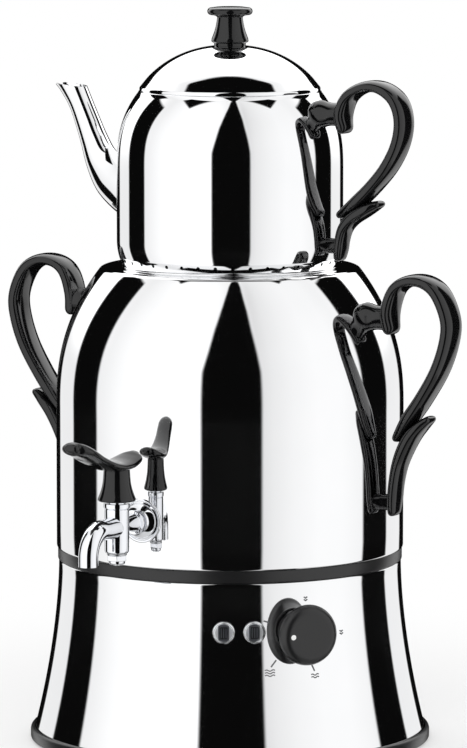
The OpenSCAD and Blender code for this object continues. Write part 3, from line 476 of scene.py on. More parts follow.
    def copy(self, piece: bpy.types.Object, name: str, where: Matrix) -> bpy.types.Object:
        """A copy with its own mesh at another place.

        Args:
            piece: The mesh to copy.
            name: Name of the copy.
            where: Where the copy goes, from the place of the first.

        Returns:
            The copy.
        """
        twin = piece.copy()
        twin.data = piece.data.copy()
        twin.name = name
        twin.data.name = name
        bpy.context.collection.objects.link(twin)
        return self.place(twin, where)

    def joined(self, pieces: list[bpy.types.Object], name: str) -> bpy.types.Object:
        """Join several meshes into one object.

        Args:
            pieces: The meshes.
            name: Name of the joined piece.

        Returns:
            The joined piece.
        """
        self.pick(pieces[0])
        for piece in pieces[1:]:
            piece.select_set(True)
        bpy.ops.object.join()
        return self.named(name)

    def combine(self, piece: bpy.types.Object, tool: bpy.types.Object, how: Blend, keep: bool = False
                ) -> bpy.types.Object:
        """Apply a Boolean modifier with another closed mesh.

        Args:
            piece: The mesh that changes.
            tool: The mesh that is added or taken away.
            how: What the tool does to it.
            keep: Whether the tool stays for more cuts.

        Returns:
            The changed piece.
        """
        self.pick(piece)
        made = piece.modifiers.new("combine", "BOOLEAN")
        made.operation = how.value
        made.solver = "EXACT"
        made.object = tool
        bpy.ops.object.modifier_apply(modifier=made.name)
        if not keep:
            self.drop(tool)
        return piece

    def rounded(self, piece: bpy.types.Object, levels: int) -> bpy.types.Object:
        """Apply a subdivision surface.

        Args:
            piece: The mesh.
            levels: How often each face is divided.

        Returns:
            The piece.
        """
        self.pick(piece)
        made = piece.modifiers.new("rounded", "SUBSURF")
        made.levels = levels
        made.render_levels = levels
        bpy.ops.object.modifier_apply(modifier=made.name)
        return piece

    def drop(self, piece: bpy.types.Object) -> None:
        """Remove a helper object and its mesh.

        Args:
            piece: The helper.
        """
        mesh = piece.data
        bpy.data.objects.remove(piece)
        bpy.data.meshes.remove(mesh)

    def smooth(self, piece: bpy.types.Object, angle: float = 35.0) -> bpy.types.Object:
        """Shade a piece smooth, with crisp edges above an angle.

        Args:
            piece: The mesh.
            angle: The angle in degrees.

        Returns:
            The piece.
        """
        self.pick(piece)
        bpy.ops.object.shade_smooth_by_angle(angle=math.radians(angle))
        return piece

    def cut_above(self, piece: bpy.types.Object, point: Vector, normal: Vector) -> bpy.types.Object:
        """Bisect a closed mesh, drop what lies on the normal's side and close the cut.

        Args:
            piece: The closed mesh.
            point: A point of the cut.
            normal: Direction from the cut towards what is dropped.

        Returns:
            The piece.
        """
        self.pick(piece)
        self.edit()
        bpy.ops.mesh.bisect(plane_co=point * MM, plane_no=normal, use_fill=True, clear_outer=True)
        self.close_up()
        return piece

    def inside(self, name: str, wall: list[Point]) -> bpy.types.Object:
        """The solid inside a wall's outer face, for trimming what is fastened to it."""
        wider = moved_in(wall, -0.05)
        return self.turned(name, [(0, wider[0][1])] + wider + [(0, wider[-1][1])], closed=False)


BENCH = Bench()


def rings_along(path: list[Point], widths: list[float], depths: list[float], steps: int) -> list[Ring]:
    """Rings along a flowing path and square to it.

    Args:
        path: Control points in the XZ plane.
        widths: Width at each control point.
        depths: Thickness at each control point.
        steps: Spans between control points.

    Returns:
        The rings from the first control point to the last.
    """
    line, wide, deep = (flowing(row, steps) for row in (path, [(w,) for w in widths], [(d,) for d in depths]))
    last = len(line) - 1
    rings = []
    for i, (x, z) in enumerate(line):
        a, b = line[max(0, i - 1)], line[min(last, i + 1)]
        slope = math.degrees(math.atan2(b[1] - a[1], b[0] - a[0]))
        while rings and slope - rings[-1].slope > WHOLE_TURN / 2:
            slope -= WHOLE_TURN
        while rings and slope - rings[-1].slope < -WHOLE_TURN / 2:
            slope += WHOLE_TURN
        rings.append(Ring(x, z, slope, wide[i][0], deep[i][0]))
    return rings


def round_end(ring: Ring, side: float) -> list[Ring]:
    """Rings that round off an end of a strap.

    Args:
        ring: The strap's ring at that end.
        side: -1 for the first end and 1 for the last.

    Returns:
        The rings from the strap outwards.
    """
    out = math.radians(ring.slope)
    made = []
    for turn in (26, 48, 66, 82):
        reach = side * ring.depth / 2 * math.sin(math.radians(turn))
        shrink = math.cos(math.radians(turn))
        made.append(Ring(ring.x + reach * math.cos(out), ring.z + reach * math.sin(out), ring.slope,
                         ring.width - ring.depth * (1 - shrink), ring.depth * shrink))
    return made


def strap_rings(path: list[Point], widths: list[float], depths: list[float], steps: int) -> list[Ring]:
    """Rings along a flowing path, as rings_along gives them, with more at each end that close it roundly."""
    body = rings_along(path, widths, depths, steps)
    return round_end(body[0], -1)[::-1] + body + round_end(body[-1], 1)


# ---------------------------------------------------------------------------------------------------------
# Finishes


def tone(code: str) -> tuple[float, float, float, float]:
    """Turn an sRGB hex colour into linear values.

    Args:
        code: The colour as #RRGGBB.

    Returns:
        Red, green, blue and full opacity.
    """
    parts = [int(code[i:i + 2], 16) / 255 for i in (1, 3, 5)]
    flat = [c / 12.92 if c <= 0.04045 else ((c + 0.055) / 1.055) ** 2.4 for c in parts]
    return (*flat, 1.0)


def fresh_tree(owner: bpy.types.Material | bpy.types.World) -> bpy.types.NodeTree:
    """The emptied node tree of a material or world.

    Args:
        owner: The material or world.

    Returns:
        Its tree.
    """
    owner.use_nodes = True
    owner.node_tree.nodes.clear()
    return owner.node_tree


def add_node(tree: bpy.types.NodeTree, kind: str, feeds: dict[str | int, Feed] | None = None,
             **settings: str) -> bpy.types.Node:
    """Add a node with its settings and links.

    Args:
        tree: Node tree that gets the node.
        kind: Blender's type name after ShaderNode.
        feeds: What each input gets, by its name or number: a value, an output socket, or a node, which
            stands for its first output.
        settings: The node's own properties by name.

    Returns:
        The new node.
    """
    made = tree.nodes.new("ShaderNode" + kind)
    for name, value in settings.items():
        setattr(made, name, value)
    for name, feed in (feeds or {}).items():
        source = feed.outputs[0] if isinstance(feed, bpy.types.Node) else feed
        if isinstance(source, bpy.types.NodeSocket):
            tree.links.new(source, made.inputs[name])
        else:
            made.inputs[name].default_value = source
    return made


@dataclass(frozen=True)
class Fade:
    """A smooth change from a first to a last value between two places, for a map range."""

    start: float
    end: float
    first: float = 0.0
    last: float = 1.0

    def feeds(self, value: Feed) -> dict[str, Feed]:
        """The inputs that make the change of a value."""
        return {"Value": value, "From Min": self.start, "From Max": self.end, "To Min": self.first,
                "To Max": self.last}


@dataclass(frozen=True)
class Finish:
    """One real material and how its surface was made.

    The grain is the fine mark of the making, and the patch is the slow change over the piece. Both are sizes
    in millimetres.
    """

    name: str
    colour: str
    second: str
    metallic: float = 0.0
    roughness: Point = (0.4, 0.5)
    grain: float = 1.0
    grain_stretch: Triple = (1.0, 1.0, 1.0)
    patch: float = 40.0
    relief: float = 0.0
    clear: float = 0.0
    ior: float = 1.5
    under: float = 0.0

    def make(self) -> bpy.types.Material:
        """Build the procedural material.

        Returns:
            The material, whose pattern follows Object coordinates.
        """
        made = bpy.data.materials.new(self.name)
        tree = fresh_tree(made)
        where = add_node(tree, "TexCoord").outputs["Object"]
        drawn = add_node(tree, "Mapping", {"Vector": where, "Scale": self.grain_stretch})
        grain = add_node(tree, "TexNoise", {"Vector": drawn, "Scale": 1 / (self.grain * MM), "Detail": 3.0,
                                            "Roughness": 0.6})
        patch = add_node(tree, "TexNoise", {"Vector": where, "Scale": 1 / (self.patch * MM), "Detail": 2.0})
        colour = add_node(tree, "Mix", {0: patch, 6: tone(self.colour), 7: tone(self.second)},
                          data_type="RGBA").outputs[2]
        rough = add_node(tree, "MapRange", Fade(0.0, 1.0, *self.roughness).feeds(grain))
        feeds = {"Base Color": colour, "Roughness": rough, "Metallic": self.metallic, "IOR": self.ior,
                 "Transmission Weight": self.clear, "Subsurface Weight": self.under}
        if self.relief:
            feeds["Normal"] = add_node(tree, "Bump", {"Height": grain, "Strength": 1.0,
                                                      "Distance": self.relief * MM})
        add_node(tree, "OutputMaterial", {"Surface": add_node(tree, "BsdfPrincipled", feeds)})
        return made


FINISHES = {
    # Mirror-polished stainless sheet: sharp reflections, with polishing lines that run round the piece
    "polished_steel": Finish("mirror_polished_stainless", "#F3F3F4", "#EEEFF0", metallic=1.0,
                             roughness=(0.02, 0.06), grain=1.2, grain_stretch=(0.02, 0.02, 1.0)),
    # Brushed stainless sheet: soft streaks and a blurred shine
    "satin_steel": Finish("brushed_stainless", "#C9CACC", "#B9BBBE", metallic=1.0,
                          roughness=(0.22, 0.4), grain=0.9, grain_stretch=(1.0, 0.04, 1.0), relief=0.01),
    # Chrome plate over cast brass: the sharpest shine, slightly cooler and darker than the sheet
    "tap_chrome": Finish("bright_chrome_plate", "#F0F1F4", "#E8EAEE", metallic=1.0,
                         roughness=(0.015, 0.05), grain=2.5, patch=12.0),
    # Compression-moulded phenolic resin, buffed: deep black under a hard gloss, with faint flow marks
    "bakelite": Finish("buffed_black_phenolic", "#0A0A0B", "#101011", roughness=(0.07, 0.12), grain=3.0,
                       patch=25.0),
    # Injection-moulded heat-resistant plastic: fine spark-eroded grain, drawn coarser than 0.1 mm to show
    "satin_black": Finish("grained_black_plastic", "#141415", "#19191A", roughness=(0.24, 0.36),
                          grain=0.5, relief=0.012),
    # Moulded rubber: dull, slightly dusty, a pebbled grain
    "pad_rubber": Finish("black_foot_rubber", "#1D1D1E", "#2A2A2A", roughness=(0.75, 0.9), grain=0.6,
                         relief=0.05, ior=1.52),
    # Moulded silicone: milky and softly lit from within
    "silicone": Finish("milky_silicone", "#D9D4C7", "#CFC9BA", roughness=(0.4, 0.55), grain=1.5,
                       under=0.2, ior=1.43),
    # Electroplated zinc on steel: a greyish shine in small crystals
    "zinc_plate": Finish("zinc_plated_steel", "#B4B6B9", "#A2A6AB", metallic=1.0, roughness=(0.25, 0.45),
                         grain=2.0, patch=8.0, relief=0.01),
    # Machined brass: warm, with turning lines
    "brass_parts": Finish("machined_brass", "#C9A557", "#B8923F", metallic=1.0, roughness=(0.18, 0.34),
                          grain=0.6, grain_stretch=(0.1, 0.1, 1.0)),
    # Die-cast aluminium: pale, with a skin of flow marks
    "heat_aluminium": Finish("die_cast_aluminium", "#B9BBBE", "#A5A8AC", metallic=1.0,
                             roughness=(0.4, 0.6), grain=3.0, relief=0.04),
    # Heater tube: annealed steel browned by heat in patches
    "element_steel": Finish("heat_browned_tube", "#857B70", "#5C4F45", metallic=1.0,
                            roughness=(0.35, 0.55), grain=1.0, patch=15.0),
    # Filled phenolic moulding: dark brown with pale fibres
    "dark_phenolic": Finish("filled_phenolic", "#2B2623", "#3A322C", roughness=(0.4, 0.6), grain=0.8,
                            patch=2.0, relief=0.02),
    # Steatite ceramic: chalky off-white with a dry fired skin
    "pale_ceramic": Finish("fired_steatite", "#E7E3DA", "#DAD5C9", roughness=(0.5, 0.7), grain=0.7,
                           relief=0.015),
    # Clear polycarbonate lens: glass-like, with the faintest moulding haze
    "clear_lens": Finish("clear_polycarbonate", "#FAFBFC", "#F4F6F8", roughness=(0.01, 0.04), grain=2.0,
                         clear=1.0, ior=1.49),
    # Vacuum-metallised reflector behind the lens: white and bright
    "lamp_silver": Finish("metallised_reflector", "#F2F2F2", "#E6E6E6", roughness=(0.25, 0.4),
                          grain=0.8),
    # Pad-printed ink on steel: flat grey-black
    "mark_ink": Finish("pad_printed_ink", "#626365", "#6E6F71", roughness=(0.45, 0.6), grain=0.4),
    # Pad-printed pointer dot: dense white lacquer
    "pointer_white": Finish("white_pointer_lacquer", "#F4F4F2", "#ECECEA", roughness=(0.3, 0.42),
                            grain=0.5),
    # Neon lamp's window behind its lens: smoky grey plastic with a soft shine
    "smoky_window": Finish("smoky_window_plastic", "#84858A", "#64656A", roughness=(0.2, 0.3), grain=0.6),
}


class Dresser:
    """Makes each material once and gives it to pieces and carried-over nodes."""

    def __init__(self) -> None:
        """Start with no materials made."""
        self.made: dict[str, bpy.types.Material] = {}

    def material(self, finish: str) -> bpy.types.Material:
        """The material of a finish, made on first use.

        Args:
            finish: Name of the finish.

        Returns:
            The material.
        """
        if finish not in self.made:
            self.made[finish] = FINISHES[finish].make()
        return self.made[finish]

    def dress(self, piece: bpy.types.Object, finish: str, body: str,
              stands_for: tuple[str, ...] = ()) -> bpy.types.Object:
        """Finish a piece, hang it under the empty of its body and hide the carried nodes that it replaces.

        Args:
            piece: The finished mesh.
            finish: Name of its finish.
            body: Body that carries it.
            stands_for: Carried nodes that it replaces.

        Returns:
            The piece.
        """
        piece.data.materials.clear()
        piece.data.materials.append(self.material(finish))
        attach(piece, body)
        if stands_for:
            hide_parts(*stands_for)
        log.info("%s: %d faces on %s", piece.name, len(piece.data.polygons), body)
        return piece

    def dress_frame(self) -> None:
        """Give every carried-over node the finish of its own slot."""
        for row in frame["record"]["subparts"]:
            node = frame["nodes"][row["node"]]
            for place in node.material_slots:
                place.material = self.material(row["material_slot"])


DRESSER = Dresser()


# ---------------------------------------------------------------------------------------------------------
# Sub-assemblies


@dataclass
class Base:
    """Moulded foot ring, pressed skirt and the black band under the urn."""

    plate_r: float = 123.5
    underside: float = 1.0
    pad_r: float = 127.0
    pad_groove: float = 3.05
    groove_top: float = 2.45
    edge_r: float = 3.1
    sink: float = 3.0
    slot: float = 3.4
    band_hole_r: float = 100.0
    band_edge: float = 0.5
    inlet_z: float = 24.0
    inlet_hole_r: float = 6.2
    lamp_hole_r: float = 5.9
    shaft_hole_r: float = 5.2

    def foot_ring(self) -> bpy.types.Object:
        """The moulded ring under the skirt, with grooves for the skirt and the rubber ring.

        Returns:
            The ring.
        """
        f = FORM
        inner = f.skirt(f.foot_h) - 0.93
        outer = f.skirt(f.foot_h - self.sink) + 0.05
        top, floor = f.foot_h, f.foot_h - self.slot
        shelf, step = self.plate_r - 6, self.plate_r + 0.5
        near, far = self.pad_r - self.pad_groove, self.pad_r + self.pad_groove
        outline = ([(shelf, self.underside), (near, self.underside), (near, self.groove_top),
                    (far, self.groove_top), (far, self.underside)]
                   + arc((f.foot_r - 1.5, 2.5), 1.5, -90, 0, 5)
                   + arc((f.foot_r - self.edge_r, top - self.edge_r), self.edge_r, 0, 72, 8)
                   + [(f.foot_r - 2.4, top - 0.03), (outer, top - 0.05), (outer, floor), (inner, floor),
                      (inner, top - 0.1), (inner - 0.3, top), (inner - 1.8, top), (inner - 1.8, 8.4),
                      (step, 8.4), (step, 7), (shelf, 7)])
        return BENCH.smooth(BENCH.turned("foot_moulding", outline), 30)

    def skirt(self) -> bpy.types.Object:
        """The flared skirt with its rolled top and the openings for the controls and the cord.

        Returns:
            The skirt.
        """
        f = FORM
        steps = 28
        low, high = f.foot_h - self.sink, f.skirt_top - 2
        heights = [low + (high - low) * i / steps for i in range(steps + 1)]
        path = ([(f.skirt(z), z) for z in heights] + arc((f.skirt_top_r - 2, high), 2, 15, 90, 5)
                + [(99.0, f.skirt_top)])
        made = BENCH.turned("skirt_shell", sheet(path, f.steel))
        wall_x = f.skirt(f.control_z)
        holes = [(bearing, f.control_z, wall_x, self.lamp_hole_r) for bearing in f.lamp_bearings]
        holes += [(f.knob_bearing, f.control_z, wall_x, self.shaft_hole_r),
                  (180.0, self.inlet_z, wall_x + 11, self.inlet_hole_r)]
        cutters = [BENCH.place(BENCH.rod("cutter", r, -12, 8, 48), axis_out(bearing, z, out))
                   for bearing, z, out, r in holes]
        BENCH.combine(made, BENCH.joined(cutters, "cutters"), Blend.CUT)
        return BENCH.smooth(made, 30)

    def band(self) -> bpy.types.Object:
        """The plain black band between base and urn.

        Returns:
            The band.
        """
        f = FORM
        flat = f.urn_r - 0.8 - self.band_edge
        outline = ([(self.band_hole_r, f.skirt_top), (flat, f.skirt_top)]
                   + arc((flat, f.skirt_top + self.band_edge), self.band_edge, -90, 0, 3)
                   + arc((flat, f.band_top - self.band_edge), self.band_edge, 0, 90, 3)
                   + [(self.band_hole_r, f.band_top)])
        return BENCH.smooth(BENCH.turned("black_band", outline), 40)

    def build(self) -> None:
        """Model and dress the base."""
        DRESSER.dress(self.foot_ring(), "satin_black", "urn", stands_for=("foot_ring",))
        DRESSER.dress(self.skirt(), "polished_steel", "urn", stands_for=("base_skirt",))
        DRESSER.dress(self.band(), "satin_black", "urn", stands_for=("joint_band",))


@dataclass
class Controls:
    """Thermostat knob with its pointer, two lamps and the printed marks round the knob."""

    knob_r: float = 20.3
    root_r: float = 15.0
    knob_l: float = 22.5
    edge: float = 0.32
    lamp_r: float = 7.5
    mark_lift: float = 0.1
    tick_w: float = 1.0
    wave_w: float = 0.75
    wave_h: float = 0.45
    wave_gap: float = 1.7
    # Each tick as bearing round the knob clockwise from the top, with its inner and outer radius
    ticks: tuple[Triple, ...] = ((-72, 20.5, 24.2), (157.7, 24.4, 29.6), (-141, 24.0, 29.7))
    # Each steam mark as the place of its middle beside and above the knob, its size and number of waves
    steam: tuple[tuple[float, float, float, int], ...] = ((11.4, -30.6, 5.4, 2), (-19.5, -27.0, 6.6, 3),
                                                          (7.0, 20.6, 2.6, 2), (34.3, -4.0, 2.8, 2))

    def knob_back(self) -> float:
        """Distance of the knob's back from the axis."""
        return FORM.skirt(FORM.control_z - self.root_r) + 0.5

    def knob(self) -> bpy.types.Object:
        """The waisted knob, hollow behind, with a boss for the shaft.

        Returns:
            The knob at its place on the skirt.
        """
        edge_r = self.edge * self.knob_r
        rim = self.knob_l - edge_r
        spread = self.knob_r - self.root_r
        hollow, bore, boss, cap = self.root_r - 2.2, 3.03, 5.4, 3.0
        waist = flowing([(self.root_r, 0.6), (self.root_r + 0.08 * spread, 0.3 * rim),
                         (self.root_r + 0.5 * spread, 0.72 * rim), (self.knob_r - 0.5, rim - 1)], 6)
        face = arc((self.knob_r - edge_r, rim), edge_r, 0, 90, 14)
        outline = ([(hollow, 0), (self.root_r - 0.6, 0)] + waist + face
                   + [(10.0, self.knob_l), (5.0, self.knob_l), (0, self.knob_l), (0, self.knob_l - 3.9),
                      (bore, self.knob_l - 3.9), (bore, 4.0), (boss, 4.0), (boss, self.knob_l - cap),
                      (hollow, self.knob_l - cap)])
        made = BENCH.turned("thermostat_knob", outline, 160)
        where = axis_out(FORM.knob_bearing, FORM.control_z, self.knob_back())
        return BENCH.smooth(BENCH.place(made, where), 40)

    def pointer(self) -> bpy.types.Object:
        """The white dot at nine o'clock on the knob's face.

        Returns:
            The dot at its place on the knob.
        """
        outline = [(0, -0.3), (1.75, -0.3), (1.75, 0.02), (1.6, 0.1), (0, 0.1)]
        made = BENCH.turned("pointer_dot", outline, 48, closed=False)
        side = Matrix.Translation((0, -0.62 * self.knob_r * MM, 0))
        face = self.knob_back() + self.knob_l
        where = on_wall(FORM.knob_bearing, FORM.control_z, face) @ side @ LAID_OUT
        return BENCH.smooth(BENCH.place(made, where), 40)

    def lens(self) -> bpy.types.Object:
        """The clear cap of a lamp, hollow behind, its local +Z outwards.

        Returns:
            The cap at the origin, for copies.
        """
        r = self.lamp_r
        outline = ([(r - 0.8, -0.1), (r - 0.1, -0.1), (r, 0.1), (r, 0.9)]
                   + arc((r - 1.6, 0.9), 1.6, 0, 70, 7) + [(3.4, 2.58), (0, 2.6), (0, 1.95), (3.2, 1.95)]
                   + arc((r - 2.2, 0.95), 1.1, 75, 0, 5) + [(r - 0.8, 0.75)])
        return BENCH.turned("lamp_lens", outline, 96)

    def lamp_back(self) -> bpy.types.Object:
        """The bright ring behind a lens, round the lamp's window."""
        outline = [(3.0, 0.62), (6.5, 0.62), (6.6, 0.7), (6.5, 0.78), (3.0, 0.78)]
        return BENCH.turned("lamp_reflector", outline, 96)

    def lamp_window(self) -> bpy.types.Object:
        """The dark upright window across a lamp, with three bars on its middle.

        Returns:
            The window at the origin, for copies.
        """
        disc = [(0, 0.8), (6.2, 0.8), (6.2, 0.9), (0, 0.9)]
        made = BENCH.place(BENCH.turned("lamp_window", disc, 96, closed=False), LAID_OUT)
        BENCH.combine(made, BENCH.block("band", (0, -3.6, -7), (2, 3.6, 7)), Blend.KEEP)
        BENCH.combine(made, BENCH.block("holder", (0, -2.65, -4.05), (2, 2.65, 4.05)), Blend.CUT)
        bars = [BENCH.block("bar", (1.8, y - 0.42, -3.3), (1.88, y + 0.42, 3.3)) for y in (-1.6, 0.0, 1.6)]
        return BENCH.joined([made, *bars], "lamp_window")

    def on_skirt(self, u: float, v: float, lift: float) -> Vector:
        """The point on the skirt beside (u, along the wall) and above (v) the knob's axis.

        Args:
            u: Distance along the wall, towards +X.
            v: Height above the knob's axis.
            lift: Distance out of the wall.

        Returns:
            The point in metres.
        """
        z = FORM.control_z + v
        turn = math.radians(FORM.knob_bearing) + u / FORM.skirt(FORM.control_z)
        r = FORM.skirt(z) + lift
        return Vector((r * math.sin(turn), -r * math.cos(turn), z)) * MM

    def strip(self, line: list[Point], width: float) -> bpy.types.Object:
        """A printed line on the skirt.

        Args:
            line: Points beside and above the knob's axis.
            width: Width of the line.

        Returns:
            The line as a thin film on the wall.
        """
        BENCH.clear()
        spans = len(line) - 1
        bpy.ops.mesh.primitive_grid_add(x_subdivisions=spans, y_subdivisions=1, size=2)
        piece = BENCH.named("mark")
        for vertex in piece.data.vertices:
            i = round((vertex.co.x + 1) / 2 * spans)
            a, b = line[max(0, i - 1)], line[min(spans, i + 1)]
            along = unit(b[0] - a[0], b[1] - a[1])
            side = vertex.co.y * width / 2
            vertex.co = self.on_skirt(line[i][0] - along[1] * side, line[i][1] + along[0] * side, 0.02)
        BENCH.pick(piece)
        BENCH.edit()
        bpy.ops.mesh.normals_make_consistent(inside=False)
        bpy.ops.object.mode_set(mode="OBJECT")
        if piece.data.polygons[0].normal.dot(piece.data.polygons[0].center.xy.to_3d()) < 0:
            piece.data.flip_normals()
        film = piece.modifiers.new("film", "SOLIDIFY")
        film.thickness = self.mark_lift * MM
        film.offset = 1.0
        bpy.ops.object.modifier_apply(modifier=film.name)
        return piece

    def marks(self) -> bpy.types.Object:
        """Ticks for the knob's settings and small steam marks beside them.

        Returns:
            All the marks as one piece.
        """
        made = []
        for bearing, inner, outer in self.ticks:
            turn = math.radians(bearing)
            line = [(r * math.sin(turn), r * math.cos(turn)) for r in (inner, (inner + outer) / 2, outer)]
            made.append(self.strip(line, self.tick_w))
        steps, turns = 16, 1.5
        for u, v, size, waves in self.steam:
            for row in range(waves):
                y = v + (row - (waves - 1) / 2) * self.wave_gap
                line = [(u - size / 2 + size * i / steps,
                         y + self.wave_h * math.sin(math.tau * i / steps * turns)) for i in range(steps + 1)]
                made.append(self.strip(line, self.wave_w))
        return BENCH.smooth(BENCH.joined(made, "dial_marks"), 60)

    def build(self) -> None:
        """Model and dress the controls."""
        DRESSER.dress(self.knob(), "satin_black", "dial", stands_for=("control_knob",))
        DRESSER.dress(self.pointer(), "pointer_white", "dial")
        wall_x = FORM.skirt(FORM.control_z)
        lens, back, window = self.lens(), self.lamp_back(), self.lamp_window()
        for side, bearing in zip(("left", "right"), FORM.lamp_bearings):
            turned_at = axis_out(bearing, FORM.control_z, wall_x)
            cap = BENCH.smooth(BENCH.copy(lens, f"lamp_lens_{side}", turned_at), 40)
            DRESSER.dress(cap, "clear_lens", "urn", stands_for=("lamp_lenses",))
            ring = BENCH.smooth(BENCH.copy(back, f"lamp_reflector_{side}", turned_at), 40)
            DRESSER.dress(ring, "lamp_silver", "urn")
            pane = BENCH.copy(window, f"lamp_window_{side}", on_wall(bearing, FORM.control_z, wall_x))
            DRESSER.dress(pane, "smoky_window", "urn")
        for start in (lens, back, window):
            BENCH.drop(start)
        DRESSER.dress(self.marks(), "mark_ink", "urn")


@dataclass
class Urn:
    """The drawn urn wall with its rolled edge and dished mouth."""

    edge_r: float = 5.0
    neck_h: float = 8.5
    wall_cutter: bpy.types.Object | None = None

    def shell(self) -> bpy.types.Object:
        """The wall as one sheet.

        Returns:
            The wall.
        """
        f = FORM
        seat_r = f.mouth_r + 4.2
        edge = arc((f.urn(f.shoulder_top) - self.edge_r * math.cos(math.radians(f.edge_lean)),
                    f.urn_top - self.edge_r), self.edge_r, f.edge_lean + 6, 90, 7)
        path = ([(101.0, f.band_top)] + urn_wall() + edge
                + [(seat_r + 0.9, f.dish_z + 0.45), (seat_r + 0.35, f.dish_z + 0.1),
                   (seat_r - 0.3, f.dish_z)]
                + arc((f.mouth_r + 1.2, f.dish_z - 1.2), 1.2, 90, 180, 5)
                + [(f.mouth_r, f.dish_z - self.neck_h)])
        return BENCH.smooth(BENCH.turned("urn_wall", sheet(path, f.steel), 320), 30)

    def build(self) -> None:
        """Model and dress the urn."""
        DRESSER.dress(self.shell(), "polished_steel", "urn", stands_for=("urn_shell",))
        self.wall_cutter = BENCH.inside("urn_cutter", urn_wall())


@dataclass
class Tap:
    """Plug tap: rosette, cast body with a swan-neck nozzle, cap nut and a lever on a cone."""

    height: float = 164.5
    axis: float = 148.7
    barrel_r: float = 8.2
    up: float = 15.7
    down: float = 17.5
    nozzle_r: float = 6.6
    bore_r: float = 4.5
    way_r: float = 3.6
    outlet: float = 184.7
    drop: float = 21.7
    rosette_r: float = 15.0
    lever_reach: float = 61.0
    lever_rise: float = 43.4
    lever_w: float = 24.0
    lever_t: float = 7.5
    cone_r: float = 12.6
    # The lever's path in per cent of its reach and rise, with its width and thickness as shares
    lever_path: tuple[Point, ...] = ((-34.5, 65.1), (-33, 64.2), (-29.5, 62.2), (-22, 58.6), (-7, 54.4),
                                     (10, 54.4), (28, 60), (48, 70.5), (66, 82), (77, 88.6), (84.5, 92.2),
                                     (88.8, 94), (90.8, 94.8))
    lever_widths: tuple[float, ...] = (0.36, 0.54, 0.74, 0.9, 1, 1, 0.96, 0.92, 0.96, 0.95, 0.84, 0.66, 0.46)
    lever_depths: tuple[float, ...] = (0.7, 0.8, 0.88, 0.94, 1, 1, 1, 1, 1.06, 1.14, 1.18, 1.12, 0.96)

    def rosette(self, cutter: bpy.types.Object) -> bpy.types.Object:
        """The round cover plate against the urn.

        Args:
            cutter: The solid inside the urn's wall.

        Returns:
            The plate at its place.
        """
        r = self.rosette_r
        face = ([(r, 0)] + arc((r - 1.15, 1.35), 1.15, 0, 150, 12) + [(r - 2.3, 2.0), (r - 3.1, 2.55)]
                + arc((r - 3.45, 2.75), 0.4, 10, 140, 8) + [(r - 3.9, 3.05), (r - 7.0, 5.05)]
                + [(r - 7.3, 5.4), (r - 7.6, 7.1), (r - 8.0, 7.5), (r - 8.5, 7.6)])
        made = BENCH.turned("tap_cover_plate", face + [(6.05, 7.55), (6.05, 0)], 128)
        BENCH.place(made, axis_out(0, self.height, FORM.urn_r - 2))
        BENCH.combine(made, cutter, Blend.CUT, keep=True)
        return BENCH.smooth(made, 32)

    def nozzle(self, radius: float, swell: float, past: float) -> bpy.types.Object:
        """The swan neck from the barrel to the outlet, or its bore.

        Args:
            radius: Radius at the outlet.
            swell: How much wider the neck is at the barrel.
            past: How far it runs past the outlet.

        Returns:
            The swept neck in the tap's own frame, with its waterway along +X.
        """
        bend = self.drop - 5.7
        start = self.outlet - bend
        rings = []
        for x in (self.axis, self.axis + 6, self.axis + 12, start - 3):
            rings.append(Ring.round(x, 0, 0, radius + swell * (start + 4 - x) / (start + 4 - self.axis)))
        for i in range(13):
            turn = math.radians(90 * i / 12)
            rings.append(Ring.round(start + bend * math.sin(turn), -bend + bend * math.cos(turn),
                                    -90 * i / 12, radius + swell * 0.25 * (1 - i / 12)))
        rings.append(Ring.round(self.outlet, -self.drop - past, -90, radius))
        return BENCH.swept("neck", rings, Section.ROUND, sides=64)

    def body(self) -> bpy.types.Object:
        """The cast body with its waterway and the plug's tapered seat.

        Returns:
            The body at its place.
        """
        r, up, down = self.barrel_r, self.up, self.down
        wall = ([(0, -down)] + arc((r - 1.8, 1.8 - down), 1.8, -90, 0, 6) + [(r, 0), (r, up - 4.4)]
                + flowing([(r, up - 3.8), (r - 0.5, up - 3.3), (r + 0.5, up - 2.9)], 3)
                + [(r + 0.6, up - 2.5), (r + 0.6, up - 0.6), (r + 0.4, up - 0.1), (r - 0.1, up), (0, up)])
        upright = Matrix.Translation((self.axis * MM, 0, 0))
        barrel = BENCH.place(BENCH.turned("tap_casting", wall, 96, closed=False), upright)
        BENCH.combine(barrel, self.nozzle(self.nozzle_r, 1.1, 0), Blend.ADD)
        shank = BENCH.turned("shank", [(0, 107.1), (6, 107.1), (6, 123.8), (6.4, 124), (8, 124), (8.2, 124.3),
                                       (8.2, 127.9), (7.8, 128.4), (6.2, 128.8), (6, 129.2), (6, self.axis),
                                       (0, self.axis)], 96, closed=False)
        BENCH.combine(barrel, BENCH.place(shank, LAID_OUT), Blend.ADD)
        slope = 0.8 / (up + down)
        seat = BENCH.turned("seat", [(0, -down - 1), (5.05 - slope, -down - 1), (5.85 + slope, up + 1),
                                     (0, up + 1)], 96, closed=False)
        way = BENCH.rod("way", self.way_r, 100, self.axis, 48)
        for tool in (BENCH.place(seat, upright), BENCH.place(way, LAID_OUT), self.nozzle(self.bore_r, 0, 1)):
            BENCH.combine(barrel, tool, Blend.CUT)
        return BENCH.smooth(BENCH.place(barrel, on_wall(0, self.height)), 32)

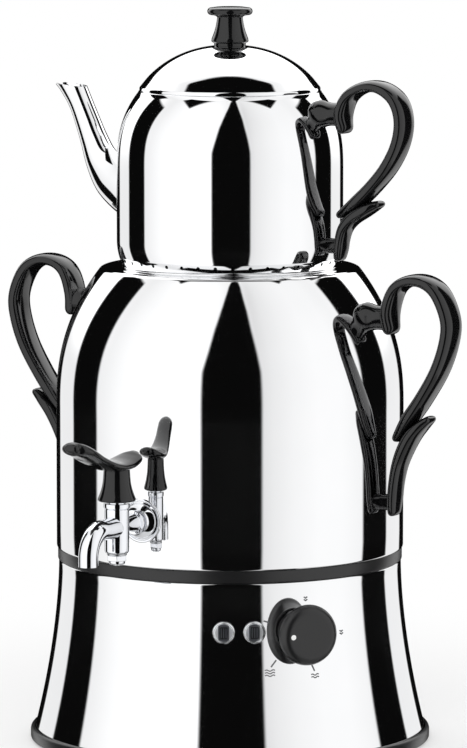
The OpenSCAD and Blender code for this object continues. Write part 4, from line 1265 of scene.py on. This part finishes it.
    def cap_nut(self) -> bpy.types.Object:
        """The hexagonal nut with a domed tip under the barrel.

        Returns:
            The nut at its place.
        """
        r = self.barrel_r
        made = BENCH.rod("tap_nut_cap", r - 1.2, 0, 3.6, 6)
        BENCH.edit()
        bpy.ops.mesh.bevel(offset=0.35 * MM, segments=3, profile=0.5, affect="EDGES")
        bpy.ops.object.mode_set(mode="OBJECT")
        dome = [(0, 3.3), (r - 2.6, 3.3)] + arc((r - 4.6, 4.4), 2.0, -10, 80, 6) + [(0, 6.7)]
        BENCH.combine(made, BENCH.turned("tip", dome, 64, closed=False), Blend.ADD)
        BENCH.combine(made, BENCH.rod("bore", 2.43, -1, 8), Blend.CUT)
        flip = Matrix.Rotation(math.pi, 4, "X")
        where = on_wall(0, self.height - self.down - 1.25, self.axis) @ flip
        return BENCH.smooth(BENCH.place(made, where), 30)

    def lever(self) -> bpy.types.Object:
        """The S-shaped thumb lever, grown out of a flared cone.

        Returns:
            The lever at its place.
        """
        path = [(x / 100 * self.lever_reach, z / 100 * self.lever_rise) for x, z in self.lever_path]
        rings = strap_rings(path, [self.lever_w * w for w in self.lever_widths],
                            [self.lever_t * t for t in self.lever_depths], 5)
        made = BENCH.swept("tap_thumb_lever", rings, Section.ROUND, sides=48)
        r, h = self.cone_r, 0.48 * self.lever_rise
        side = ([(0, 0), (0.95 * r, 0)] + arc((0.97 * r - 0.6, 1.0), 1.0, -60, 30, 4)
                + flowing([(0.97 * r, 2.2), (0.83 * r, h / 3), (0.73 * r, 0.62 * h), (0.68 * r, h + 2)], 5)
                + [(0, h + 2)])
        BENCH.combine(made, BENCH.turned("cone", side, 96, closed=False), Blend.ADD)
        BENCH.combine(made, BENCH.rod("tang_hole", 3.25, -1, 14), Blend.CUT)
        return BENCH.smooth(BENCH.place(made, on_wall(0, self.height + self.up + 1.6, self.axis)), 40)

    def build(self, cutter: bpy.types.Object) -> None:
        """Model and dress the tap.

        Args:
            cutter: The solid inside the urn's wall, which trims the cover plate.
        """
        DRESSER.dress(self.rosette(cutter), "tap_chrome", "urn", stands_for=("tap_rosette",))
        DRESSER.dress(self.body(), "tap_chrome", "urn", stands_for=("tap_body",))
        DRESSER.dress(self.cap_nut(), "tap_chrome", "tap_key", stands_for=("tap_cap_nut",))
        DRESSER.dress(self.lever(), "bakelite", "tap_key", stands_for=("tap_lever",))


@dataclass
class ScrollGrip:
    """A moulded scroll handle: a curled strap, a leaf under it, an arm above and a boss below.

    The strap's and the leaf's paths are in per cent of the reach and the rise, from the wall and the foot.
    """

    name: str
    wall_r: float
    wall_at: Callable[[float], float]
    foot_z: float
    reach: float
    rise: float
    width: float
    depth: float
    arm_z: float
    boss_z: float
    grip: list[Point]
    leaf: list[Point]
    root: float = 8.0
    screw_hole_r: float = 2.15
    widths: tuple[float, ...] = (0.8, 1, 1, 1, 1, 1, 1, 1, 1, 0.97, 0.9, 0.6)
    depths: tuple[float, ...] = (0.95, 0.95, 0.9, 0.85, 0.9, 1, 1, 1, 1, 1, 1.02, 0.7)
    leaf_widths: tuple[float, ...] = (0.62, 0.86, 0.9, 0.86, 0.8, 0.76, 0.74, 0.62)
    leaf_depths: tuple[float, ...] = (0.6, 0.85, 1, 0.98, 0.86, 0.8, 0.78, 0.7)

    def placed(self, points: list[Point]) -> list[Point]:
        """Turn per cents of the reach and rise into millimetres."""
        return [(self.wall_r + x / 100 * self.reach, self.foot_z + z / 100 * self.rise) for x, z in points]

    def strap(self, name: str, points: list[Point], widths: tuple[float, ...], depths: tuple[float, ...]
              ) -> bpy.types.Object:
        """One strap of the handle.

        Args:
            name: Name of the piece.
            points: Control points in per cent.
            widths: Width at each point, as a share of the handle's.
            depths: Thickness at each point, as a share of the handle's.

        Returns:
            The strap.
        """
        rings = strap_rings(self.placed(points), [w * self.width for w in widths],
                            [d * self.depth for d in depths], 4)
        return BENCH.rounded(BENCH.swept(name, rings, Section.STRAP), 1)

    def arm(self) -> bpy.types.Object:
        """The short arm from inside the wall to the curl, which swells before its middle and at its end.

        Returns:
            The arm before it is trimmed.
        """
        start = self.wall_at(self.arm_z) - self.root
        end = self.placed(self.grip)[1][0] - self.depth / 4
        swell, place, spread, last = 0.3, 0.36, 0.24, 0.12
        rings = []
        for i in range(25):
            s = i / 24
            flare = 1 + swell * math.exp(-((s - place) / spread) ** 2) + last * s ** 3
            rings.append(Ring(start + (end - start) * s, self.arm_z, 0, self.width * 0.72 * flare,
                              self.depth * 1.6 * flare))
        return BENCH.swept("arm", rings, Section.ROUND, sides=64)

    def boss(self) -> bpy.types.Object:
        """The round boss between the wall and the leaf's foot.

        Returns:
            The boss before it is trimmed.
        """
        ends = (self.wall_r - self.root / 2, self.placed(self.leaf)[5][0])
        rings = [Ring.round(x, self.boss_z, 0, self.width * 0.25) for x in ends]
        return BENCH.swept("boss", rings, Section.ROUND, sides=48)

    def make(self, cutter: bpy.types.Object) -> bpy.types.Object:
        """Model the whole handle on the +X side.

        Args:
            cutter: The solid inside the wall that the handle is trimmed to.

        Returns:
            The handle as one moulding.
        """
        made = self.strap(self.name, self.grip, self.widths, self.depths)
        leaf = self.strap("leaf", self.leaf, self.leaf_widths, self.leaf_depths)
        for part in (leaf, self.arm(), self.boss()):
            BENCH.combine(made, part, Blend.ADD)
        BENCH.combine(made, cutter, Blend.CUT, keep=True)
        lean = math.degrees(math.atan(self.wall_at(self.arm_z - 0.5) - self.wall_at(self.arm_z + 0.5)))
        for z, tilt in ((self.arm_z, lean), (self.boss_z, 0.0)):
            where = (Matrix.Translation((self.wall_at(z) * MM, 0, z * MM))
                     @ Matrix.Rotation(math.radians(-tilt), 4, "Y") @ LAID_OUT)
            hole = BENCH.rod("screw_hole", self.screw_hole_r, -6, 7, 24)
            BENCH.combine(made, BENCH.place(hole, where), Blend.CUT)
        return BENCH.smooth(made, 40)


@dataclass
class Collar:
    """The steam collar that centres the teapot in the urn's dish."""

    lift_gap: float = 0.4

    def build(self) -> None:
        """Model and dress the collar."""
        f = FORM
        bore = f.mouth_r - 4
        neck = f.mouth_r - f.steel - self.lift_gap
        pot_edge = f.pot_r - f.pot_foot_in
        lip = pot_edge - f.steel - self.lift_gap
        bead = pot_edge + 1.2
        outline = ([(bore, f.dish_z - 7), (bore + 0.4, f.dish_z - 7.4), (neck - 0.4, f.dish_z - 7.4),
                    (neck, f.dish_z - 7), (neck, f.dish_z - 1), (neck + 0.8, f.dish_z),
                    (bead - 1.4, f.dish_z)]
                   + arc((bead - 1.3, f.dish_z + 1.3), 1.3, -90, 80, 12) + [(bead - 1.7, f.dish_z + 2.7)]
                   + arc((bead - 1.6, f.pot_z - 0.8), 0.8, -60, 90, 9)
                   + [(lip, f.pot_z), (lip, f.pot_z + 1.4), (lip - 0.4, f.pot_z + 1.8),
                      (bore + 0.4, f.pot_z + 1.8), (bore, f.pot_z + 1.4)])
        made = BENCH.smooth(BENCH.turned("steam_collar", outline), 40)
        DRESSER.dress(made, "polished_steel", "collar", stands_for=("seat_collar",))


@dataclass
class Teapot:
    """Spun teapot body with its vents, strainer and spout."""

    vents: int = 40
    vent_r: float = 1.2
    vent_z: float = 3.9
    strainer_r: float = 1.8
    pitch: float = 5.4
    spout_z: float = 372.0
    spout_reach: float = 48.9
    spout_rise: float = 71.0
    spout_r: float = 8.3
    spout_wall: float = 1.0
    mouth_tilt: float = 6.0
    wall_cutter: bpy.types.Object | None = None
    # Distance from the wall in per cent of the reach, and height in per cent of the rise
    spout_path: tuple[Point, ...] = ((-20.7, -3), (5, 3), (30.7, 13), (49.9, 28), (62.8, 47), (74.3, 66),
                                     (85.9, 84), (98.7, 100), (105.1, 107))
    # Width across and depth along the slope, as multiples of the mouth's radius
    spout_widths: tuple[float, ...] = (4.4, 4, 3.3, 2.6, 2.24, 2.06, 2, 2.06, 2.1)
    spout_depths: tuple[float, ...] = (5, 4.7, 3.9, 2.9, 2.34, 2.1, 2, 2.26, 2.5)

    def body(self) -> bpy.types.Object:
        """The body as one sheet, pierced by the steam vents and the strainer.

        Returns:
            The body.
        """
        f = FORM
        edge = f.pot_edge_r
        path = (pot_wall() + arc((f.pot_rim_r - edge, f.pot_rim_z - edge), edge, 20, 90, 5)
                + arc((f.pot_neck_r + edge, f.pot_rim_z - edge), edge, 90, 180, 5)
                + [(f.pot_neck_r, f.pot_rim_z - 9)])
        made = BENCH.turned("teapot_wall", sheet(path, f.steel), 320)
        holes = []
        start = BENCH.rod("vent", self.vent_r, f.pot_r - 10, f.pot_r + 2, 16)
        for i in range(self.vents):
            where = axis_out((i + 0.5) * 360 / self.vents + 90, f.pot_z + self.vent_z, 0)
            holes.append(BENCH.copy(start, "vent", where))
        BENCH.drop(start)
        start = BENCH.rod("strainer", self.strainer_r, f.pot_r - 12, f.pot_r + 4, 20)
        for row in range(-2, 3):
            for k in range(5 - abs(row)):
                across = (k - (4 - abs(row)) / 2) * self.pitch
                up = self.spout_z + row * self.pitch * 0.87
                where = Matrix.Translation((0, across * MM, up * MM)) @ LAID_OUT.inverted()
                holes.append(BENCH.copy(start, "strainer", where))
        BENCH.drop(start)
        BENCH.combine(made, BENCH.joined(holes, "holes"), Blend.CUT)
        return BENCH.smooth(made, 30)

    def spout_form(self, shrink: float) -> bpy.types.Object:
        """The spout's outer form, or its hollow where it is shrunk by the wall.

        Args:
            shrink: How far the form lies inside the spout's outer face.

        Returns:
            The form on the +X side.
        """
        path = [(FORM.pot_r + x / 100 * self.spout_reach, self.spout_z + z / 100 * self.spout_rise)
                for x, z in self.spout_path]
        rings = rings_along(path, [w * self.spout_r - 2 * shrink for w in self.spout_widths],
                            [d * self.spout_r - 2 * shrink for d in self.spout_depths], 6)
        return BENCH.swept("spout_tube", rings, Section.ROUND, sides=72)

    def spout(self) -> bpy.types.Object:
        """The hollow spout, trimmed to the wall and cut off at its mouth.

        Returns:
            The spout at its place.
        """
        made = self.spout_form(0)
        BENCH.combine(made, self.spout_form(self.spout_wall), Blend.CUT)
        BENCH.combine(made, self.wall_cutter, Blend.CUT, keep=True)
        tilt = math.radians(self.mouth_tilt)
        mouth = Vector((FORM.pot_r + self.spout_reach, 0, self.spout_z + self.spout_rise))
        BENCH.cut_above(made, mouth, Vector((-math.sin(tilt), 0, math.cos(tilt))))
        return BENCH.smooth(BENCH.place(made, Matrix.Rotation(math.pi, 4, "Z")), 40)

    def build(self) -> None:
        """Model and dress the teapot."""
        DRESSER.dress(self.body(), "polished_steel", "teapot", stands_for=("teapot_body",))
        self.wall_cutter = BENCH.inside("pot_cutter", pot_wall())
        DRESSER.dress(self.spout(), "polished_steel", "teapot", stands_for=("teapot_spout",))


@dataclass
class Lid:
    """Domed lid with its turned knob."""

    knob_h: float = 25.95
    knob_r: float = 15.3
    rim_from: float = 56.0
    rim_slope: float = 51.0
    screw_hole_r: float = 2.15

    def dome(self) -> bpy.types.Object:
        """The dome as one sheet with a rolled edge.

        Returns:
            The dome.
        """
        f, hole = FORM, self.screw_hole_r
        steps = 40
        turns = [math.radians(90 * i / steps * 0.985) for i in range(steps + 1)]
        fall = math.tan(math.radians(self.rim_slope))
        over = []
        for t in turns:
            r = (f.lid_r - 0.3) * math.cos(t)
            straight = f.dome(self.rim_from) - (r - self.rim_from) * fall
            over.append((r, straight if r > self.rim_from else f.dome(r)))
        under = [(r * (1 - f.steel / f.lid_r), z - f.steel * (0.9 + 0.1 * math.sin(t)))
                 for t, (r, z) in zip(turns, over)][::-1]
        outline = ([(f.lid_r - 0.5, f.pot_rim_z), (f.lid_r, f.pot_rim_z + 0.4),
                    (f.lid_r, f.pot_rim_z + 1.9)]
                   + over + [(hole, f.dome(0)), (hole, f.dome(0) - f.steel)] + under[1:-1]
                   + [(f.lid_r - 1.1, f.pot_rim_z + 0.8), (f.lid_r - 1.1, f.pot_rim_z)])
        return BENCH.smooth(BENCH.turned("lid_shell", [p for p in outline if p[0] >= hole], 320), 30)

    def knob(self) -> bpy.types.Object:
        """The turned knob: a flared foot, a slim waist and a flat disc on top.

        Returns:
            The knob.
        """
        base = FORM.dome(0)
        r = self.knob_r
        neck, foot, ring_in = 0.57 * r, 0.82 * r, 0.7 * r
        top, edge = base + self.knob_h, 2.5

        def up(share: float) -> float:
            """Height at a share of the knob."""
            return base + share * self.knob_h

        outline = ([(x, FORM.dome(x) + 0.05) for x in (0, 4, 8, ring_in)]
                   + [(ring_in, up(0.05)), (foot - 0.5, up(0.075)), (foot - 0.1, up(0.09)), (foot, up(0.11))]
                   + flowing([(foot * 0.98, up(0.17)), (neck * 1.22, up(0.34)), (neck * 1.09, up(0.5)),
                              (neck * 1.01, up(0.66)), (neck, up(0.72)), (neck * 1.1, up(0.75)),
                              (r - edge - 1.5, up(0.775))], 6)
                   + arc((r - edge, top - 0.75 - edge), edge, -85, 70, 16)
                   + [(r * 0.62, top - 0.3), (r * 0.3, top - 0.05), (0, top)])
        return BENCH.smooth(BENCH.turned("lid_grip", outline, 128, closed=False), 40)

    def build(self) -> None:
        """Model and dress the lid."""
        DRESSER.dress(self.dome(), "polished_steel", "lid", stands_for=("lid_dome",))
        DRESSER.dress(self.knob(), "bakelite", "lid", stands_for=("lid_knob",))


@dataclass
class Studio:
    """Plain pale floor and backdrop, and a soft tent with dark flags that polished metal mirrors.

    Bearings are counted from the camera's and elevations from the point it aims at, both in degrees.
    """

    eye: Triple = (1768.0, -3062.3, 680.0)
    aim: Triple = (0.0, 0.0, 250.0)
    aside: float = 2.4
    lens: float = 252.1
    sensor: float = 36.0
    # Light on matt surfaces, next to the full white of the backdrop
    matt_light: float = 0.75
    floor_r: float = 1600.0
    # How far the floor has faded to the backdrop's white, between two distances in metres
    floor_fade: Fade = Fade(0.12, 0.6, 0.45, 1.0)
    tent_r: float = 1100.0
    # The tall dark flag round the camera: its left and right edge at each elevation
    front_flag: tuple[Triple, ...] = (
        (-90, -18, 20), (15, -18, 20), (26, -15, 18.5), (39, -12, 16.5), (49, -8.5, 15.5), (56, -5.5, 14),
        (61, -2.5, 13), (66, 0.5, 12), (69, 4, 11), (72, 8, 8), (90, 8, 8))
    # The flags on both sides: near edge, far edge and top
    side_flags: tuple[Triple, ...] = ((94.0, 121.5, 45.0), (147.5, 190.0, 29.0))
    # Half the width of a flag's blurred edge
    soft: float = 1.2
    # Elevation under which the cloth is dimmer, as a floor would be, and by what share
    low: Point = (-38.0, 0.42)
    # Brightness of the cloth at each bearing, in per cent
    glow: tuple[Point, ...] = (
        (-180, 94), (-130, 94), (-97, 96), (-88, 101), (-75, 112), (-55, 125), (-18, 125), (20, 85), (27, 94),
        (40, 103), (57, 110), (75, 110), (90, 104), (100, 96), (130, 96), (180, 96))
    # Brightness of the cloth overhead, how far it takes over with the elevation, and what is lost high up
    top_glow: float = 1.04
    top_share: Fade = Fade(55, 80)
    high_loss: Fade = Fade(20, 50, 1.0, 0.96)
    # How much brighter the cloth behind the samovar is, with the elevation and with the bearing
    rear_gain: Fade = Fade(1, 20, 0.0, 1.3)
    rear_share: Fade = Fade(85, 150)
    # What the dark flags and the card overhead still send back
    flag_glow: float = 0.003
    # The black card overhead: height, back and front edge towards the camera, half width and blurred edge
    card_z: float = 800.0
    card_back: float = 36.0
    card_front: float = 198.0
    card_half: float = 300.0
    card_soft: float = 10.0
    # The lamps: name, place, power in watts and size
    lights: tuple[tuple[str, Triple, float, float], ...] = (("key", (900, -1600, 2000), 18.0, 1200),
                                                            ("rim", (-1400, 900, 1800), 9.0, 1400))

    def camera(self) -> None:
        """Place the camera, aimed a little beside the axis."""
        eye, aim = Vector(self.eye), Vector(self.aim)
        view = (aim - eye).normalized()
        right = view.cross(Vector((0, 0, 1))).normalized()
        target = aim + right * self.aside
        data = bpy.data.cameras.new("camera")
        data.lens = self.lens
        data.sensor_fit = "AUTO"
        data.sensor_width = self.sensor
        data.clip_start = 0.05
        made = bpy.data.objects.new("camera", data)
        made.matrix_world = (Matrix.Translation(eye * MM)
                             @ (target - eye).to_track_quat("-Z", "Y").to_matrix().to_4x4())
        bpy.context.collection.objects.link(made)
        bpy.context.scene.camera = made

    def within(self, tree: bpy.types.NodeTree, edges: list[tuple[Feed, Feed]], soft: float
               ) -> bpy.types.Node:
        """1 where every value lies past its edge and 0 elsewhere, with a soft change between.

        Args:
            tree: Node tree of the surface.
            edges: Pairs of a value and the edge that it has to be past.
            soft: Half the width of the change.

        Returns:
            The last node.
        """
        made = 1.0
        for value, edge in edges:
            over = add_node(tree, "Math", {0: value, 1: edge}, operation="SUBTRACT")
            share = add_node(tree, "MapRange", Fade(-soft, soft).feeds(over), interpolation_type="SMOOTHSTEP")
            made = add_node(tree, "Math", {0: made, 1: share}, operation="MULTIPLY")
        return made

    def curve(self, tree: bpy.types.NodeTree, value: Feed, points: list[Point]) -> bpy.types.Node:
        """A line of straight spans over an angle in degrees.

        Args:
            tree: Node tree of the surface.
            value: The angle.
            points: Angles with their values, both between half a turn back and half a turn on.

        Returns:
            The last node.
        """
        place = add_node(tree, "Math", {0: value, 1: 1 / WHOLE_TURN, 2: 0.5}, operation="MULTIPLY_ADD")
        made = add_node(tree, "FloatCurve", {"Value": place})
        line = made.mapping.curves[0]
        spots = [(x / WHOLE_TURN + 0.5, y / WHOLE_TURN + 0.5) for x, y in points]
        line.points[0].location = (0.0, spots[0][1])
        line.points[1].location = (1.0, spots[-1][1])
        for x, y in spots:
            line.points.new(x, y)
        for point in line.points:
            point.handle_type = "VECTOR"
        made.mapping.update()
        return add_node(tree, "Math", {0: made, 1: WHOLE_TURN, 2: -WHOLE_TURN / 2}, operation="MULTIPLY_ADD")

    def faced(self, tree: bpy.types.NodeTree, vector: Feed) -> list[bpy.types.NodeSocket]:
        """The X, Y and Z of a vector, turned so that +X points towards the camera.

        Args:
            tree: Node tree of the surface.
            vector: The vector.

        Returns:
            The sockets of its three parts.
        """
        turned = add_node(tree, "VectorRotate", {"Vector": vector,
                                                 "Angle": -math.atan2(self.eye[1], self.eye[0])},
                          rotation_type="Z_AXIS")
        return list(add_node(tree, "SeparateXYZ", {"Vector": turned}).outputs)

    def hang(self, piece: bpy.types.Object, cloth: bpy.types.Material) -> None:
        """Dress a piece of the studio that only mirrors see.

        Args:
            piece: The tent or card.
            cloth: Its material.
        """
        piece.data.materials.append(cloth)
        piece.visible_camera = False
        piece.visible_diffuse = False
        piece.visible_shadow = False

    def world(self) -> None:
        """World: white to the camera and in reflections, and an even light on matt surfaces."""
        world = bpy.data.worlds.new("white_room")
        bpy.context.scene.world = world
        tree = fresh_tree(world)
        world.cycles.sampling_method = "NONE"
        path = add_node(tree, "LightPath")
        seen = path.outputs["Is Camera Ray"]
        for kind in ("Is Glossy Ray", "Is Transmission Ray"):
            seen = add_node(tree, "Math", {0: seen, 1: path.outputs[kind]}, operation="MAXIMUM")
        level = add_node(tree, "Mix", {0: seen, 2: self.matt_light, 3: 1.0}, data_type="FLOAT")
        back = add_node(tree, "Background", {"Color": (1, 1, 1, 1), "Strength": level})
        add_node(tree, "OutputWorld", {"Surface": back})

    def tent(self) -> None:
        """A light tent with dark flags that only mirrors see, near enough to shift as one moves."""
        BENCH.clear()
        bpy.ops.mesh.primitive_uv_sphere_add(segments=64, ring_count=32, radius=self.tent_r * MM)
        middle = Vector(self.aim) * MM
        made = BENCH.place(BENCH.named("light_tent"), Matrix.Translation(middle))
        cloth = bpy.data.materials.new("light_tent_cloth")
        tree = fresh_tree(cloth)
        cloth.cycles.emission_sampling = "NONE"
        place = add_node(tree, "TexCoord").outputs["Object"]
        out = add_node(tree, "VectorMath", {0: place, 1: middle}, operation="SUBTRACT")
        x, y, z = self.faced(tree, add_node(tree, "VectorMath", {0: out}, operation="NORMALIZE"))
        angles = (add_node(tree, "Math", {0: y, 1: x}, operation="ARCTAN2"),
                  add_node(tree, "Math", {0: z}, operation="ARCSINE"))
        turn, rise = (add_node(tree, "Math", {0: angle}, operation="DEGREES") for angle in angles)
        aside = add_node(tree, "Math", {0: turn}, operation="ABSOLUTE")
        left, right = (self.curve(tree, rise, [(row[0], row[side]) for row in self.front_flag])
                       for side in (1, 2))
        flags = [self.within(tree, [(turn, left), (right, turn)], self.soft)]
        flags += [self.within(tree, [(aside, near), (far, aside), (top, rise)], self.soft)
                  for near, far, top in self.side_flags]
        under = self.within(tree, [(self.low[0], rise)], self.soft)
        dark = add_node(tree, "Math", {0: under, 1: self.low[1]}, operation="MULTIPLY")
        for flag in flags:
            dark = add_node(tree, "Math", {0: dark, 1: flag}, operation="MAXIMUM")
        top, loss, gain, behind = (
            add_node(tree, "MapRange", fade.feeds(angle), interpolation_type="SMOOTHSTEP")
            for fade, angle in ((self.top_share, rise), (self.high_loss, rise), (self.rear_gain, rise),
                                (self.rear_share, aside)))
        around = add_node(tree, "Math", {0: self.curve(tree, turn, list(self.glow)), 1: 0.01},
                          operation="MULTIPLY")
        even = add_node(tree, "Mix", {0: top, 2: around, 3: self.top_glow}, data_type="FLOAT")
        rear = add_node(tree, "Math", {0: behind, 1: gain, 2: 1.0}, operation="MULTIPLY_ADD")
        shown = add_node(tree, "Math", {0: 1.0, 1: dark}, operation="SUBTRACT")
        for factor in (even, rear):
            shown = add_node(tree, "Math", {0: shown, 1: factor}, operation="MULTIPLY")
        shown = add_node(tree, "Math", {0: shown, 1: loss, 2: self.flag_glow}, operation="MULTIPLY_ADD")
        glow = add_node(tree, "Emission", {"Color": (1, 1, 1, 1), "Strength": shown})
        add_node(tree, "OutputMaterial", {"Surface": glow})
        self.hang(made, cloth)

    def ceiling_card(self) -> None:
        """A black card above the samovar that only mirrors see; it draws the crescent on the lid."""
        BENCH.clear()
        bpy.ops.mesh.primitive_plane_add(size=2 * (self.card_half + 60) * MM,
                                         location=(0, 0, self.card_z * MM))
        made = BENCH.named("ceiling_card")
        bpy.ops.object.transform_apply(location=True, rotation=True, scale=True)
        velvet = bpy.data.materials.new("black_velvet_card")
        tree = fresh_tree(velvet)
        place = add_node(tree, "TexCoord").outputs["Object"]
        x, y, _ = self.faced(tree, add_node(tree, "VectorMath", {0: place, "Scale": 1 / MM},
                                            operation="SCALE"))
        side = add_node(tree, "Math", {0: y}, operation="ABSOLUTE")
        cover = self.within(tree, [(x, self.card_back), (self.card_front, x), (self.card_half, side)],
                            self.card_soft)
        mixed = add_node(tree, "MixShader", {
            0: cover, 1: add_node(tree, "BsdfTransparent"),
            2: add_node(tree, "Emission", {"Strength": self.flag_glow})})
        add_node(tree, "OutputMaterial", {"Surface": mixed})
        self.hang(made, velvet)

    def floor(self) -> None:
        """A round pale floor that keeps the shadow near the samovar and fades to the backdrop's white."""
        BENCH.clear()
        bpy.ops.mesh.primitive_circle_add(vertices=128, radius=self.floor_r * MM, fill_type="NGON")
        made = BENCH.named("studio_floor")
        paper = bpy.data.materials.new("white_paper_floor")
        tree = fresh_tree(paper)
        where = add_node(tree, "TexCoord").outputs["Object"]
        far = add_node(tree, "VectorMath", {0: where}, operation="LENGTH").outputs["Value"]
        white = add_node(tree, "MapRange", self.floor_fade.feeds(far), interpolation_type="SMOOTHSTEP")
        near = add_node(tree, "MixShader", {
            0: white, 1: add_node(tree, "BsdfDiffuse", {"Color": tone("#F2F2F2")}),
            2: add_node(tree, "Emission", {"Color": (1, 1, 1, 1)})})
        seen = add_node(tree, "MixShader", {
            0: add_node(tree, "LightPath").outputs["Is Glossy Ray"], 1: near,
            2: add_node(tree, "BsdfTransparent")})
        add_node(tree, "OutputMaterial", {"Surface": seen})
        made.data.materials.append(paper)

    def lamps(self) -> None:
        """A soft key lamp above and a weaker one behind, for the floor's shadow and the matt parts."""
        for name, place, power, size in self.lights:
            data = bpy.data.lights.new(name, "AREA")
            data.energy = power
            data.size = size * MM
            made = bpy.data.objects.new(name, data)
            spot = Vector(place)
            aim = (Vector(self.aim) - spot).to_track_quat("-Z", "Y").to_matrix().to_4x4()
            made.matrix_world = Matrix.Translation(spot * MM) @ aim
            made.visible_glossy = False
            bpy.context.collection.objects.link(made)

    def build(self) -> None:
        """Set up the view, the floor and the light."""
        self.camera()
        self.world()
        self.tent()
        self.ceiling_card()
        self.floor()
        self.lamps()
        bpy.context.scene.view_settings.view_transform = "Standard"


def urn_grip() -> ScrollGrip:
    """The urn's handle.

    Returns:
        The handle on the +X side, ready to make.
    """
    return ScrollGrip(
        name="urn_grip_right", wall_r=FORM.urn_r, wall_at=FORM.urn, foot_z=FORM.band_top + 32,
        reach=51.3, rise=157.0, width=22.0, depth=9.5, arm_z=294.9, boss_z=170.9,
        grip=[(12, 79), (10.5, 86), (20, 95), (38, 99.3), (62, 99.6), (84, 95), (99, 84), (97, 74), (84, 62),
              (62, 50), (41, 40.5), (24, 32.5)],
        leaf=[(68.5, 40.6), (56, 37.3), (44, 33), (33, 26.5), (25, 19.5), (20.5, 12), (18.5, 5), (17.5, 0.5)])


def pot_grip() -> ScrollGrip:
    """The teapot's handle.

    Returns:
        The handle, ready to make.
    """
    return ScrollGrip(
        name="teapot_grip", wall_r=FORM.pot_r, wall_at=FORM.pot, foot_z=FORM.pot_z + 8.6,
        reach=55.4, rise=117.5, width=21.0, depth=9.0, arm_z=429.6, boss_z=341.4,
        grip=[(21, 74.5), (19.5, 82), (28, 91.5), (48, 97.5), (71, 98), (93, 91.5), (102, 80), (98, 66.5),
              (83, 53), (62, 41.5), (40, 32), (19, 25)],
        leaf=[(68, 31.3), (59, 29.6), (47, 26.6), (33, 22.4), (23, 16.8), (18.6, 10.4), (16.8, 4.7),
              (15.4, 0.6)])


def main() -> None:
    """Build every sub-assembly in order and report the pieces."""
    logging.basicConfig(level=logging.INFO, format="%(name)s: %(message)s")
    Studio().build()
    DRESSER.dress_frame()
    Base().build()
    Controls().build()
    urn = Urn()
    urn.build()
    Tap().build(urn.wall_cutter)
    right = urn_grip().make(urn.wall_cutter)
    left = BENCH.copy(right, "urn_grip_left", Matrix.Rotation(math.pi, 4, "Z"))
    DRESSER.dress(right, "bakelite", "urn", stands_for=("urn_handle_right",))
    DRESSER.dress(left, "bakelite", "urn", stands_for=("urn_handle_left",))
    BENCH.drop(urn.wall_cutter)
    Collar().build()
    teapot = Teapot()
    teapot.build()
    handle = pot_grip().make(teapot.wall_cutter)
    DRESSER.dress(handle, "bakelite", "teapot", stands_for=("teapot_handle",))
    BENCH.drop(teapot.wall_cutter)
    Lid().build()
    BENCH.clear()


if __name__ == "__main__":
    main()
